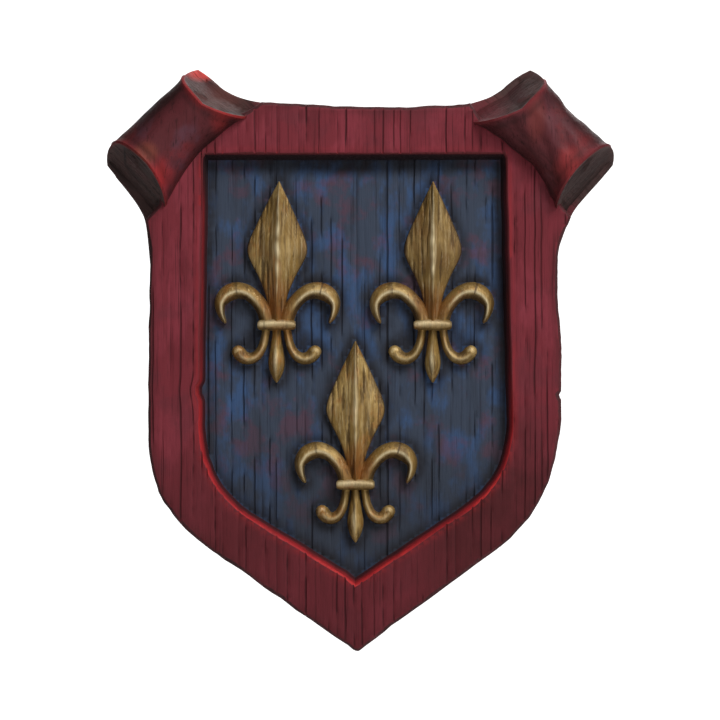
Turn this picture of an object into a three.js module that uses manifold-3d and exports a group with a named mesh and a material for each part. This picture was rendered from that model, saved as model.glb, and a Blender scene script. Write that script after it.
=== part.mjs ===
// A wall plaque in the shape of a heraldic shield, moulded in one piece to look like old carved wood.
// A raised crimson frame with two rolled upper corners surrounds a sunk blue field with three gilt lilies.
// Millimetres. +Z is up, the front faces -Y, and the origin is the middle of the flat back.
import * as THREE from "three";
import { mergeVertices } from "three/addons/utils/BufferGeometryUtils.js";
import Module from "manifold-3d";

const wasm = await Module();
wasm.setup();

// The shield
const WIDTH = 349;
const HEIGHT = 400;
const FRAME_DEPTH = 26;
const FIELD_DEPTH = 14;
const FLAP_DEPTH = 6;
const WALL_DRAFT = 3.4;
const RIM_ROUND = 1.6;
const EDGE_ROUND = 4;

// The rolled corners
const ROLL_WAIST_RADIUS = 23;
const ROLL_AXIS_DEPTH = 21;
const ROLL_BACK_SHARE = { upper: 0.88, lower: 0.76 };
const ROLL_LEAN = THREE.MathUtils.degToRad(43);

// The lilies
const LILY_HEIGHT = 139;
const PETAL_EDGE = 3.2;
const PETAL_RIDGE = 10.5;
const SIDE_PETAL_EDGE = 2.6;
const SIDE_PETAL_RIDGE = 8;
const COLLAR_RISE = 10.5;
const BALL_RADIUS = 4.3;

const CURVE_STEPS = 9;

// A point of the front view, from its shares of the shield's width and height.
function onShield(across, up) {
  return new THREE.Vector2(across * WIDTH, up * HEIGHT);
}

// A closed geometry as a solid. A mirrored one has its faces turned back.
function solidOf(geometry, mirrored = false) {
  geometry.deleteAttribute("normal");
  geometry.deleteAttribute("uv");
  const merged = mergeVertices(geometry, 1e-4);
  const corners = new Uint32Array(merged.index.array);
  if (mirrored) {
    for (let i = 0; i < corners.length; i += 3) {
      [corners[i + 1], corners[i + 2]] = [corners[i + 2], corners[i + 1]];
    }
  }
  return new wasm.Manifold(
    new wasm.Mesh({
      numProp: 3,
      vertProperties: merged.getAttribute("position").array,
      triVerts: corners,
    }),
  );
}

// How far each point of an outline moves when the outline grows by one millimetre on every side.
function outwards(points) {
  const turn = THREE.ShapeUtils.isClockWise(points) ? -1 : 1;
  return points.map((point, i) => {
    const before = points[(i + points.length - 1) % points.length];
    const after = points[(i + 1) % points.length];
    const a = point.clone().sub(before).normalize();
    const b = after.clone().sub(point).normalize();
    const sum = new THREE.Vector2(a.y + b.y, -a.x - b.x).multiplyScalar(turn);
    return sum.divideScalar(Math.max(0.8, 1 + a.dot(b)));
  });
}

// A flat outline given depth in layers, each a [distance from the back, growth of the outline] pair.
// The points are rounded as the geometry's buffers hold them, so that each is found there again.
function raised(outline, layers) {
  const rounded = (point) => new THREE.Vector2(Math.fround(point.x), Math.fround(point.y));
  const points = outline.getPoints(CURVE_STEPS).map(rounded);
  if (points[0].distanceTo(points[points.length - 1]) < 1e-6) {
    points.pop();
  }
  const grown = outwards(points);
  const key = (x, y) => `${x} ${y}`;
  const order = new Map(points.map((point, i) => [key(point.x, point.y), i]));
  const steps = layers.length - 1;
  const options = { depth: steps, steps, bevelEnabled: false };
  const geometry = new THREE.ExtrudeGeometry(new THREE.Shape(points), options);
  const position = geometry.getAttribute("position");
  for (let i = 0; i < position.count; i += 1) {
    const x = position.getX(i);
    const y = position.getY(i);
    const [depth, growth] = layers[Math.round(position.getZ(i))];
    const out = grown[order.get(key(x, y))];
    position.setXYZ(i, x + out.x * growth, -depth, y + out.y * growth);
  }
  return solidOf(geometry);
}

// A bar of one section. Each point's place follows from its place in the section and its share of the length.
function swept(section, steps, place, mirrored = false) {
  const outline = new THREE.Shape(section.map(([a, b]) => new THREE.Vector2(a, b)));
  const geometry = new THREE.ExtrudeGeometry(outline, { depth: 1, steps, bevelEnabled: false });
  const position = geometry.getAttribute("position");
  for (let i = 0; i < position.count; i += 1) {
    const placed = place(position.getX(i), position.getY(i), position.getZ(i));
    position.setXYZ(i, placed.x, placed.y, placed.z);
  }
  return solidOf(geometry, mirrored);
}

// Linear interpolation in a list of [share, value] pairs with rising shares.
function along(pairs, share) {
  const next = pairs.findIndex(([at]) => at >= share);
  if (next < 0) {
    return pairs[pairs.length - 1][1];
  }
  if (next === 0) {
    return pairs[0][1];
  }
  const [a, from] = pairs[next - 1];
  const [b, to] = pairs[next];
  return from + ((to - from) * (share - a)) / (b - a);
}

// Each rolled corner. The ends are cut askew, so that they face the viewer a little.
// reach: how far each end goes at the back. slope: how far it draws back for each millimetre of depth.
// inner and outer: how much further it goes at the roll's inner side, and how much less at its outer side.
// flare: widening by the square of the distance from the waist. drift: how the axis bends inwards.
const rollLeft = {
  side: -1,
  centre: onShield(-0.357, 0.397),
  waistAt: 5,
  upper: { reach: 40.8, slope: 0.39, inner: 9.5, outer: 4, flare: 0.0022, drift: 0.001 },
  lower: { reach: 54.4, slope: 0.5, inner: 1.5, outer: 2, flare: 0.0023, drift: 0.0023 },
};
const rollRight = {
  side: 1,
  centre: onShield(0.356, 0.395),
  waistAt: -9,
  upper: { reach: 38.6, slope: 0.44, inner: 10, outer: 6.5, flare: 0.003, drift: -0.0004 },
  lower: { reach: 53.7, slope: 0.4, inner: 1, outer: 1.5, flare: 0.0042, drift: 0.0036 },
};

// A point of the front view in a roll's own directions: along its axis, rising to the shield's middle,
// and across it, outwards.
function onRoll(roll, rising, across) {
  const c = Math.cos(ROLL_LEAN);
  const s = Math.sin(ROLL_LEAN);
  return new THREE.Vector2(
    roll.centre.x - roll.side * (c * rising - s * across),
    roll.centre.y + s * rising + c * across,
  );
}

// Where one end of a roll lies along its axis, at a share of its half-width and a depth.
function rollEnd(end, across, depth) {
  const askew = across < 0 ? -across * end.inner : -(across ** 2) * end.outer;
  return end.reach + askew - end.slope * depth;
}

function rollSolid(roll) {
  const arc = 16;
  const section = [];
  for (let i = 0; i <= arc; i += 1) {
    const angle = (Math.PI * i) / arc;
    section.push([Math.cos(angle), Math.sin(angle)]);
  }
  section.push([-1, -0.5], [-1, -1], [-0.5, -1], [0, -1], [0.5, -1], [1, -1], [1, -0.5]);
  const place = (a, b, share) => {
    const narrow = THREE.MathUtils.lerp(ROLL_BACK_SHARE.lower, ROLL_BACK_SHARE.upper, share);
    const across = b < 0 ? a * (1 - (1 - narrow) * b * b) : a;
    const rise = b > 0 ? ROLL_AXIS_DEPTH + b * ROLL_WAIST_RADIUS : ROLL_AXIS_DEPTH * (1 + b);
    const top = rollEnd(roll.upper, across, rise);
    const foot = -rollEnd(roll.lower, across, rise);
    const t = foot + (top - foot) * share;
    const away = t - roll.waistAt;
    const end = away > 0 ? roll.upper : roll.lower;
    const radius = ROLL_WAIST_RADIUS + end.flare * away * away;
    const depth = b > 0 ? ROLL_AXIS_DEPTH + b * radius : ROLL_AXIS_DEPTH * (1 + b);
    const flat = onRoll(roll, t, across * radius - end.drift * away * away);
    return new THREE.Vector3(flat.x, -depth, flat.y);
  };
  return swept(section, 10, place, roll.side > 0);
}

// The board's outline. It runs on under both rolls, inside their ends.
function boardOutline() {
  const outline = new THREE.Shape();
  const move = (p) => outline.moveTo(p.x, p.y);
  const line = (p) => outline.lineTo(p.x, p.y);
  const bend = (p, q, r) => outline.bezierCurveTo(p.x, p.y, q.x, q.y, r.x, r.y);
  const spline = (points) => outline.splineThru(points);
  const r = ROLL_WAIST_RADIUS;
  move(onShield(-0.193, 0.443));
  line(onRoll(rollLeft, 1.8 * r, -1 * r));
  line(onRoll(rollLeft, 0.9 * r, -0.5 * r));
  line(onRoll(rollLeft, -1.2 * r, -0.4 * r));
  line(onRoll(rollLeft, -1.6 * r, -0.9 * r));
  line(onRoll(rollLeft, -1.95 * r, -1.25 * r));
  line(onShield(-0.422, 0.24));
  spline([onShield(-0.417, 0.21), onShield(-0.414, 0.165), onShield(-0.415, 0.02)]);
  line(onShield(-0.416, -0.137));
  bend(onShield(-0.416, -0.213), onShield(-0.379, -0.276), onShield(-0.282, -0.333));
  line(onShield(-0.032, -0.485));
  bend(onShield(-0.018, -0.494), onShield(-0.012, -0.5), onShield(-0.005, -0.5));
  bend(onShield(0, -0.5), onShield(0.006, -0.493), onShield(0.018, -0.485));
  line(onShield(0.256, -0.333));
  bend(onShield(0.355, -0.275), onShield(0.396, -0.188), onShield(0.396, -0.068));
  spline([onShield(0.396, 0.03), onShield(0.39, 0.1), onShield(0.391, 0.19), onShield(0.416, 0.245)]);
  line(onRoll(rollRight, -1.9 * r, -1.2 * r));
  line(onRoll(rollRight, -1.5 * r, -0.8 * r));
  line(onRoll(rollRight, -1.2 * r, -0.4 * r));
  line(onRoll(rollRight, 0.7 * r, -0.5 * r));
  line(onRoll(rollRight, 1.5 * r, -1 * r));
  line(onShield(0.217, 0.441));
  spline([onShield(0.14, 0.436), onShield(0.02, 0.434), onShield(-0.09, 0.438), onShield(-0.193, 0.443)]);
  return outline;
}

// The thin flap that runs on from the board behind the ends of both rolls.
function flapOutline() {
  const r = ROLL_WAIST_RADIUS;
  return new THREE.Shape([
    onShield(0.217, 0.441),
    onShield(0.2525, 0.451),
    onShield(0.2762, 0.463),
    onShield(0.2959, 0.475),
    onShield(0.3156, 0.4863),
    onRoll(rollRight, 1.2 * r, 0.3 * r),
    onRoll(rollRight, -1.4 * r, 0.3 * r),
    onShield(0.4952, 0.3382),
    onShield(0.4755, 0.3141),
    onShield(0.4498, 0.2866),
    onShield(0.4242, 0.259),
    onShield(0.4084, 0.2315),
    onShield(0.391, 0.19),
    onShield(-0.414, 0.165),
    onShield(-0.4222, 0.2315),
    onShield(-0.434, 0.259),
    onShield(-0.4557, 0.2866),
    onShield(-0.4814, 0.3141),
    onShield(-0.4952, 0.3399),
    onRoll(rollLeft, -1.4 * r, 0.3 * r),
    onRoll(rollLeft, 1.2 * r, 0.3 * r),
    onShield(-0.3018, 0.4845),
    onShield(-0.2821, 0.4742),
    onShield(-0.2663, 0.4639),
    onShield(-0.2427, 0.4535),
    onShield(-0.217, 0.4467),
    onShield(-0.193, 0.443),
    onShield(-0.18, 0.4),
    onShield(0.2, 0.4),
  ]);
}

// The rim of the sunk field, with the notch of a knot in its left side.
function fieldOutline() {
  const outline = new THREE.Shape();
  const move = (p) => outline.moveTo(p.x, p.y);
  const line = (p) => outline.lineTo(p.x, p.y);
  const bend = (p, q, r) => outline.bezierCurveTo(p.x, p.y, q.x, q.y, r.x, r.y);
  move(onShield(-0.304, 0.352));
  line(onShield(-0.308, 0.345));
  line(onShield(-0.312, 0.104));
  line(onShield(-0.315, -0.034));
  line(onShield(-0.321, -0.045));
  line(onShield(-0.321, -0.058));
  line(onShield(-0.315, -0.071));
  line(onShield(-0.314, -0.111));
  bend(onShield(-0.312, -0.18), onShield(-0.288, -0.226), onShield(-0.221, -0.268));
  line(onShield(-0.032, -0.369));
  line(onShield(-0.01, -0.385));
  line(onShield(0.012, -0.371));
  line(onShield(0.191, -0.268));
  bend(onShield(0.264, -0.226), onShield(0.298, -0.18), onShield(0.298, -0.102));
  line(onShield(0.29, 0.19));
  line(onShield(0.286, 0.345));
  line(onShield(0.282, 0.352));
  return outline;
}

function board() {
  const edge = [
    [0, 0],
    [FRAME_DEPTH - EDGE_ROUND, 0],
    [FRAME_DEPTH - EDGE_ROUND * 0.3, -EDGE_ROUND * 0.3],
    [FRAME_DEPTH, -EDGE_ROUND],
  ];
  const wall = [
    [FIELD_DEPTH, -WALL_DRAFT],
    [FRAME_DEPTH - RIM_ROUND, 0],
    [FRAME_DEPTH, RIM_ROUND],
    [2 * FRAME_DEPTH, RIM_ROUND],
  ];
  const flap = [
    [0, 0],
    [FLAP_DEPTH, 0],
  ];
  const solid = raised(boardOutline(), edge).add(raised(flapOutline(), flap));
  return solid.subtract(raised(fieldOutline(), wall));
}

// One lily. Its forms are shares of its own height, measured from the middle of its collar.
// left and right say how far each side petal spreads, fullness how wide the middle petal is, and curl
// how far the curls of the foot spread.
const lilies = [
  { collar: onShield(-0.164, 0.061), tip: 0.012, left: 1, right: 1.03, fullness: 1, curl: 1 },
  { collar: onShield(0.143, 0.061), tip: 0.002, left: 1.02, right: 0.99, fullness: 0.96, curl: 0.99 },
  { collar: onShield(-0.009, -0.213), tip: 0, left: 0.98, right: 1, fullness: 0.98, curl: 0.87 },
];

const PETAL_WIDTHS = [
  [0, 0.045],
  [0.09, 0.044],
  [0.15, 0.057],
  [0.2, 0.076],
  [0.25, 0.099],
  [0.3, 0.126],
  [0.34, 0.144],
  [0.375, 0.148],
  [0.41, 0.141],
  [0.45, 0.126],
  [0.5, 0.103],
  [0.6, 0.056],
  [0.66, 0.027],
  [0.706, 0.005],
];
const DROP_WIDTHS = [
  [0, 0.02],
  [0.06, 0.023],
  [0.13, 0.034],
  [0.19, 0.042],
  [0.235, 0.033],
  [0.265, 0.019],
  [0.287, 0.006],
];
const SIDE_PETAL = [
  [0.035, -0.005],
  [0.06, 0.065],
  [0.1, 0.122],
  [0.145, 0.158],
  [0.195, 0.168],
  [0.24, 0.153],
  [0.268, 0.125],
  [0.28, 0.095],
  [0.274, 0.052],
  [0.252, 0.006],
];
const SIDE_PETAL_WIDTHS = [
  [0, 0.045],
  [0.16, 0.036],
  [0.31, 0.037],
  [0.43, 0.041],
  [0.54, 0.042],
  [0.64, 0.037],
  [0.73, 0.03],
  [0.8, 0.0245],
  [0.89, 0.018],
  [1, 0.006],
];
// How far the crest lies out from the middle of the band, as a share of its half-width, along its length.
const SIDE_PETAL_CREST = [
  [0, -0.7],
  [0.55, -0.7],
  [0.85, -0.15],
  [1, 0],
];
const CURL = [
  [0.05, -0.01],
  [0.057, -0.06],
  [0.07, -0.11],
  [0.095, -0.15],
  [0.13, -0.168],
  [0.165, -0.16],
  [0.19, -0.134],
];
const CURL_WIDTHS = [
  [0, 0.019],
  [0.4, 0.021],
  [0.65, 0.025],
  [0.85, 0.028],
  [1, 0.03],
];
const CURL_CREST = [
  [0, -0.1],
  [1, -0.1],
];
const COLLAR_HALF_WIDTH = 0.092;
const COLLAR_HALF_HEIGHT = 0.027;

// A leaf that stands on the field, pointed at its far end, with a ridge along its middle.
function leaf(lily, widths, direction) {
  const reach = widths[widths.length - 1][0];
  const roof = [
    [-1, -FIELD_DEPTH / 2],
    [1, -FIELD_DEPTH / 2],
    [1, 0],
    [0, 1],
    [-1, 0],
  ];
  const place = (a, b, share) => {
    const up = share * reach;
    const half = along(widths, up) * lily.fullness;
    const point = Math.min(1, half / 0.06);
    const lean = lily.tip * Math.max(0, direction) * (up / reach) ** 2;
    const edge = PETAL_EDGE * (0.5 + 0.5 * point);
    const rise = b < 0 ? b : edge + b * (PETAL_RIDGE - PETAL_EDGE) * point;
    return new THREE.Vector3(
      lily.collar.x + (a * half + lean) * LILY_HEIGHT,
      -(FIELD_DEPTH + rise),
      lily.collar.y + direction * up * LILY_HEIGHT,
    );
  };
  return swept(roof, 22, place, direction > 0);
}

// A band that follows a curve over the field, with a crest along its length.
function band(lily, side, spread, { points, widths, edge, ridge, crest, steps }) {
  const curve = new THREE.SplineCurve(points.map(([x, z]) => new THREE.Vector2(x * spread, z)));
  const roof = [
    [-1, -FIELD_DEPTH / 2],
    [1, -FIELD_DEPTH / 2],
    [1, 0],
    [0.3, 1],
    [-0.1, 1],
    [-1, 0],
  ];
  const place = (a, b, share) => {
    const at = curve.getPointAt(share);
    const heading = curve.getTangentAt(share);
    const across = (b < 1 ? a : a + along(crest, share)) * along(widths, share);
    const rise = b < 0 ? b : edge + b * (ridge - edge);
    return new THREE.Vector3(
      lily.collar.x + side * (at.x - heading.y * across) * LILY_HEIGHT,
      -(FIELD_DEPTH + rise),
      lily.collar.y + (at.y + heading.x * across) * LILY_HEIGHT,
    );
  };
  return swept(roof, steps, place, side < 0);
}

function ball(lily, side) {
  const [x, z] = CURL[CURL.length - 1];
  const geometry = new THREE.SphereGeometry(BALL_RADIUS, 12, 8);
  geometry.translate(
    lily.collar.x + side * x * lily.curl * LILY_HEIGHT,
    -(FIELD_DEPTH + BALL_RADIUS * 0.4),
    lily.collar.y + z * LILY_HEIGHT,
  );
  return solidOf(geometry);
}

function collar(lily) {
  const half = COLLAR_HALF_WIDTH * LILY_HEIGHT;
  const tall = COLLAR_HALF_HEIGHT * LILY_HEIGHT;
  const section = [
    [-tall, -FIELD_DEPTH / 2],
    [tall, -FIELD_DEPTH / 2],
    [tall, COLLAR_RISE * 0.6],
    [tall * 0.5, COLLAR_RISE],
    [-tall * 0.5, COLLAR_RISE],
    [-tall, COLLAR_RISE * 0.6],
  ];
  const place = (a, b, share) => {
    const out = Math.abs(2 * share - 1) ** 3;
    const rise = b < 0 ? b : b * (1 - 0.3 * out);
    return new THREE.Vector3(
      lily.collar.x + (2 * share - 1) * half,
      -(FIELD_DEPTH + rise),
      lily.collar.y + a * (1 - 0.15 * out),
    );
  };
  return swept(section, 6, place);
}

function lilySolid(lily) {
  const petal = {
    points: SIDE_PETAL,
    widths: SIDE_PETAL_WIDTHS,
    edge: SIDE_PETAL_EDGE,
    ridge: SIDE_PETAL_RIDGE,
    crest: SIDE_PETAL_CREST,
    steps: 18,
  };
  const curl = {
    points: CURL,
    widths: CURL_WIDTHS,
    edge: SIDE_PETAL_EDGE * 0.8,
    ridge: SIDE_PETAL_RIDGE * 0.75,
    crest: CURL_CREST,
    steps: 10,
  };
  let whole = leaf(lily, PETAL_WIDTHS, 1);
  whole = whole.add(leaf(lily, DROP_WIDTHS, -1));
  for (const side of [-1, 1]) {
    const spread = side < 0 ? lily.left : lily.right;
    whole = whole.add(band(lily, side, spread, petal));
    whole = whole.add(band(lily, side, lily.curl, curl));
    whole = whole.add(ball(lily, side));
  }
  return whole.add(collar(lily));
}

function plaque() {
  let whole = board().add(rollSolid(rollLeft)).add(rollSolid(rollRight));
  for (const lily of lilies) {
    whole = whole.add(lilySolid(lily));
  }
  const room = new THREE.BoxGeometry(4 * WIDTH, 4 * HEIGHT, 4 * HEIGHT);
  room.translate(0, -2 * HEIGHT, 0);
  return whole.intersect(solidOf(room));
}

const made = plaque().getMesh();
const geometry = new THREE.BufferGeometry();
geometry.setAttribute("position", new THREE.BufferAttribute(made.vertProperties, made.numProp));
geometry.setIndex(new THREE.BufferAttribute(made.triVerts, 1));
geometry.computeVertexNormals();

const paintedPlastic = new THREE.MeshStandardMaterial({
  name: "crimson_paint",
  color: 0x6e3238,
  roughness: 0.72,
  metalness: 0,
});

const shield = new THREE.Mesh(geometry, paintedPlastic);
shield.name = "shield_plaque";

const group = new THREE.Group();
group.name = "heraldic_shield";
group.add(shield);

export default group;
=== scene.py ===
"""Dress a moulded heraldic shield wall plaque that looks like old carved wood.

The plaque is one casting: a crimson frame with two rolled upper corners around a sunk blue field
with three gilt lilies. Lengths are millimetres until a mesh is finished, and metres after that.
"""
from __future__ import annotations

import logging
import math
import random
from dataclasses import dataclass, field, replace
from enum import Enum, IntEnum
from typing import Callable, Sequence

import bmesh
import bpy
from bmesh.types import BMesh, BMFace
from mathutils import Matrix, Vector, noise
from mathutils.kdtree import KDTree


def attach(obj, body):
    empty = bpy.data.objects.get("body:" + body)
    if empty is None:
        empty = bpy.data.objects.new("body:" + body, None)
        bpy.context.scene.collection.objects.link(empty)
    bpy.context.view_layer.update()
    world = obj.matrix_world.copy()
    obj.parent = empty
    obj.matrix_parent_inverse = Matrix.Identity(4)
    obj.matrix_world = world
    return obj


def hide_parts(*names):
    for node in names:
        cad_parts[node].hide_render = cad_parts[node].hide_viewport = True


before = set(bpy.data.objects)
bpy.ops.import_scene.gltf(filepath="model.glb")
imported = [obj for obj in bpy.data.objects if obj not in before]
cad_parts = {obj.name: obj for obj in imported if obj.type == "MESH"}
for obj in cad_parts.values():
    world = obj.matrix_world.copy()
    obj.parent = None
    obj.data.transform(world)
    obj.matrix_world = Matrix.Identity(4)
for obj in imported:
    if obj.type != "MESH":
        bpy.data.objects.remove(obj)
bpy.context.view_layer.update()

LOG = logging.getLogger("shield")

MM = 0.001
WIDTH = 349.0
HEIGHT = 400.0
FRAME_DEPTH = 26.0
FIELD_DEPTH = 14.0
FLAP_DEPTH = 6.0
WALL_DRAFT = 3.4
RIM_ROUND = 1.6
EDGE_ROUND = 3.4

Place = Callable[[float, float, int], Vector]
Colour = tuple[float, float, float]


class Skin(IntEnum):
    """The finishes of the casting, in the order of its material slots."""

    FRAME = 0
    EDGE = 1
    RIM = 2
    WALL = 3
    FIELD = 4
    GILT = 5
    ROLL_LEFT = 6
    ROLL_RIGHT = 7
    END_LEFT = 8
    END_RIGHT = 9
    BACK = 10


class Cut(Enum):
    """The ways that one solid is joined to or cut by another."""

    JOIN = "UNION"
    REMOVE = "DIFFERENCE"
    KEEP = "INTERSECT"


def srgb(red: float, green: float, blue: float) -> Colour:
    """Turn a colour as seen on a screen, 0 to 255, into linear values.

    Args:
        red: Red, 0 to 255.
        green: Green, 0 to 255.
        blue: Blue, 0 to 255.

    Returns:
        The linear colour.
    """
    def linear(value: float) -> float:
        """Return one channel in linear light."""
        share = value / 255.0
        return share / 12.92 if share <= 0.04045 else ((share + 0.055) / 1.055) ** 2.4

    return linear(red), linear(green), linear(blue)


def smooth(low: float, high: float, value: float) -> float:
    """Return 0 below low, 1 above high and a smooth step between them."""
    share = min(1.0, max(0.0, (value - low) / (high - low)))
    return share * share * (3.0 - 2.0 * share)


def bell(distance: float, width: float) -> float:
    """Return a bell curve of the given width, 1 at its middle."""
    return math.exp(-((distance / width) ** 2))


def along(pairs: Sequence[tuple[float, float]], share: float) -> float:
    """Interpolate smoothly in pairs of a rising share and a value.

    Args:
        pairs: The shares and their values.
        share: Where to read.

    Returns:
        The value there.
    """
    if share <= pairs[0][0]:
        return pairs[0][1]
    for i in range(1, len(pairs)):
        (low, start), (high, end) = pairs[i - 1], pairs[i]
        if share <= high:
            before = pairs[i - 2] if i > 1 else (2 * low - high, 2 * start - end)
            after = pairs[i + 1] if i + 1 < len(pairs) else (2 * high - low, 2 * end - start)
            span = high - low
            lead = (end - before[1]) / (high - before[0]) * span
            trail = (after[1] - start) / (after[0] - low) * span
            t = (share - low) / span
            return (
                (2 * t ** 3 - 3 * t ** 2 + 1) * start
                + (t ** 3 - 2 * t ** 2 + t) * lead
                + (3 * t ** 2 - 2 * t ** 3) * end
                + (t ** 3 - t ** 2) * trail
            )
    return pairs[-1][1]


def spline(points: Sequence[Vector], share: float) -> Vector:
    """Return a point of a smooth curve through the given points.

    Args:
        points: The points that the curve goes through.
        share: How far along, from 0 to 1, counted in points.

    Returns:
        The point.
    """
    at = min(0.999999, max(0.0, share)) * (len(points) - 1)
    i = int(at)
    t = at - i
    p1, p2 = points[i], points[i + 1]
    p0 = points[i - 1] if i > 0 else p1
    p3 = points[i + 2] if i + 2 < len(points) else p2
    lead, trail = (p2 - p0) * 0.5, (p3 - p1) * 0.5
    return (
        p1
        + lead * t
        + (p2 * 3 - p1 * 3 - lead * 2 - trail) * t ** 2
        + (p1 * 2 - p2 * 2 + lead + trail) * t ** 3
    )


@dataclass
class Outline:
    """A closed line in the front view, walked from point to point."""

    points: list[Vector] = field(default_factory=list)
    step: float = 2.2

    def line(self, across: float, up: float) -> "Outline":
        """Go straight to a point, given as shares of the shield's width and height."""
        return self.to(on_shield(across, up))

    def to(self, point: Vector) -> "Outline":
        """Go straight to a point.

        Args:
            point: The point in millimetres.

        Returns:
            The outline, to go on from.
        """
        if self.points:
            start = self.points[-1].copy()
            count = max(1, round((point - start).length / (3 * self.step)))
            self.points += [start.lerp(point, k / count) for k in range(1, count)]
        self.points.append(point)
        return self

    def bend(self, *shares: float) -> "Outline":
        """Follow a Bezier curve.

        Args:
            shares: Two handles and the end, each a pair of shares of the width and the height.

        Returns:
            The outline, to go on from.
        """
        start = self.points[-1].copy()
        p, q, end = (on_shield(*shares[i:i + 2]) for i in (0, 2, 4))
        count = max(4, round((end - start).length / self.step))
        for k in range(1, count + 1):
            t = k / count
            s = 1 - t
            self.points.append(start * s ** 3 + p * (3 * s * s * t) + q * (3 * s * t * t) + end * t ** 3)
        return self

    def wave(self, *shares: float) -> "Outline":
        """Follow a smooth curve through points.

        Args:
            shares: The points, each a pair of shares of the width and the height.

        Returns:
            The outline, to go on from.
        """
        through = [self.points[-1].copy()]
        through += [on_shield(*shares[i:i + 2]) for i in range(0, len(shares), 2)]
        length = sum((b - a).length for a, b in zip(through, through[1:]))
        count = round(length / self.step)
        self.points += [spline(through, k / count) for k in range(1, count + 1)]
        return self

    def closed(self) -> list[Vector]:
        """Close the outline.

        Returns:
            The points without a doubled last one.
        """
        if (self.points[0] - self.points[-1]).length < 0.01:
            return self.points[:-1]
        return self.points


def on_shield(across: float, up: float) -> Vector:
    """Return a point of the front view from its shares of the shield's width and height."""
    return Vector((across * WIDTH, up * HEIGHT))


def outwards(points: Sequence[Vector]) -> list[Vector]:
    """Work out how far each point moves when an outline grows by one millimetre.

    Args:
        points: A closed outline.

    Returns:
        One step for each point.
    """
    count = len(points)
    area = sum(
        points[i - 1].x * points[i].y - points[i].x * points[i - 1].y for i in range(count)
    )
    turn = 1.0 if area > 0 else -1.0
    steps = []
    for i in range(count):
        a = (points[i] - points[i - 1]).normalized()
        b = (points[(i + 1) % count] - points[i]).normalized()
        total = Vector((a.y + b.y, -a.x - b.x)) * turn
        steps.append(total / max(0.8, 1 + a.dot(b)))
    return steps


def worn_outline(points: Sequence[Vector], amount: float, seed: float) -> list[Vector]:
    """Let an outline wander a little, as a hand-carved edge does.

    Args:
        points: The closed outline.
        amount: How far it wanders, in millimetres.
        seed: Sets the pattern.

    Returns:
        The worn outline.
    """
    made = []
    for point, step in zip(points, outwards(points)):
        coarse = noise.noise(Vector((point.x / 17.0, point.y / 17.0, seed)))
        fine = noise.noise(Vector((point.x / 5.0, point.y / 5.0, seed + 7.0)))
        made.append(point + step * amount * (coarse + 0.45 * fine - 0.3))
    return made


def to_outline(point: Vector, outline: Sequence[Vector]) -> float:
    """Return the distance from a point to a closed outline.

    Args:
        point: A point of the front view.
        outline: The closed outline.

    Returns:
        The distance in millimetres.
    """
    best = 1e9
    for i, end in enumerate(outline):
        start = outline[i - 1]
        edge = end - start
        t = min(1.0, max(0.0, (point - start).dot(edge) / max(1e-9, edge.length_squared)))
        best = min(best, (point - start - edge * t).length_squared)
    return math.sqrt(best)


@dataclass
class Casting:
    """A closed mesh in the making, with the three painted attributes."""

    name: str
    mesh: BMesh = field(default_factory=bmesh.new)

    def __post_init__(self) -> None:
        """Give the mesh its attributes."""
        self.groove = self.mesh.verts.layers.float.new("groove")
        self.wear_and_highlight = self.mesh.verts.layers.float.new("wear_and_highlight")
        self.wash_and_shade = self.mesh.verts.layers.float.new("wash_and_shade")
        self.order = self.mesh.verts.layers.int.new("order")

    def finish(self) -> bpy.types.Object:
        """Turn the mesh into an object whose faces point out.

        Returns:
            The object, still in millimetres.
        """
        self.mesh.verts.layers.int.remove(self.order)
        bmesh.ops.recalc_face_normals(self.mesh, faces=self.mesh.faces[:])
        if self.mesh.calc_volume(signed=True) < 0:
            bmesh.ops.reverse_faces(self.mesh, faces=self.mesh.faces[:])
        data = bpy.data.meshes.new(self.name)
        self.mesh.to_mesh(data)
        self.mesh.free()
        for skin in Skin:
            data.materials.append(SKINS[skin])
        made = bpy.data.objects.new(self.name, data)
        bpy.context.scene.collection.objects.link(made)
        return made


SKINS: dict[Skin, bpy.types.Material] = {}


def cut(body: bpy.types.Object, tool: bpy.types.Object, how: Cut) -> bpy.types.Object:
    """Join one solid to another, or cut it, and use the tool up.

    Args:
        body: The solid that is changed.
        tool: The solid that changes it.
        how: What is done.

    Returns:
        The changed solid.
    """
    modifier = body.modifiers.new("cut", "BOOLEAN")
    modifier.object = tool
    modifier.operation = how.value
    modifier.solver = "MANIFOLD"
    modifier.material_mode = "INDEX"
    graph = bpy.context.evaluated_depsgraph_get()
    data = bpy.data.meshes.new_from_object(body.evaluated_get(graph), depsgraph=graph)
    body.modifiers.remove(modifier)
    old = body.data
    body.data = data
    bpy.data.meshes.remove(old)
    spent = tool.data
    bpy.data.objects.remove(tool)
    bpy.data.meshes.remove(spent)
    return body


def layered(
    name: str, points: Sequence[Vector], layers: Sequence[tuple[float, float, Skin]]
) -> bpy.types.Object:
    """Give an outline depth in layers.

    Args:
        name: The name of the solid.
        points: The closed outline in the front view.
        layers: For each layer its distance from the back, the growth of the outline there and the
            finish of the faces that lead up to it. The first one's is the finish of the back.

    Returns:
        The solid.
    """
    casting = Casting(name)
    mesh = casting.mesh
    grown = outwards(points)
    bmesh.ops.create_circle(mesh, cap_ends=True, segments=len(points), radius=1.0)
    mesh.verts.ensure_lookup_table()
    for i, vert in enumerate(mesh.verts):
        vert[casting.order] = i
    top: BMFace = mesh.faces[:][0]
    for number, (depth, growth, skin) in enumerate(layers):
        if number:
            known = set(mesh.faces)
            made = bmesh.ops.extrude_face_region(mesh, geom=[top, *top.edges])["geom"]
            top = next(part for part in made if isinstance(part, BMFace))
            for face in mesh.faces:
                if face not in known:
                    face.material_index = skin
        else:
            top.material_index = skin
        for vert in top.verts:
            i = vert[casting.order]
            spot = points[i] + grown[i] * growth
            vert.co = Vector((spot.x, -depth, spot.y))
    return casting.finish()


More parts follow.
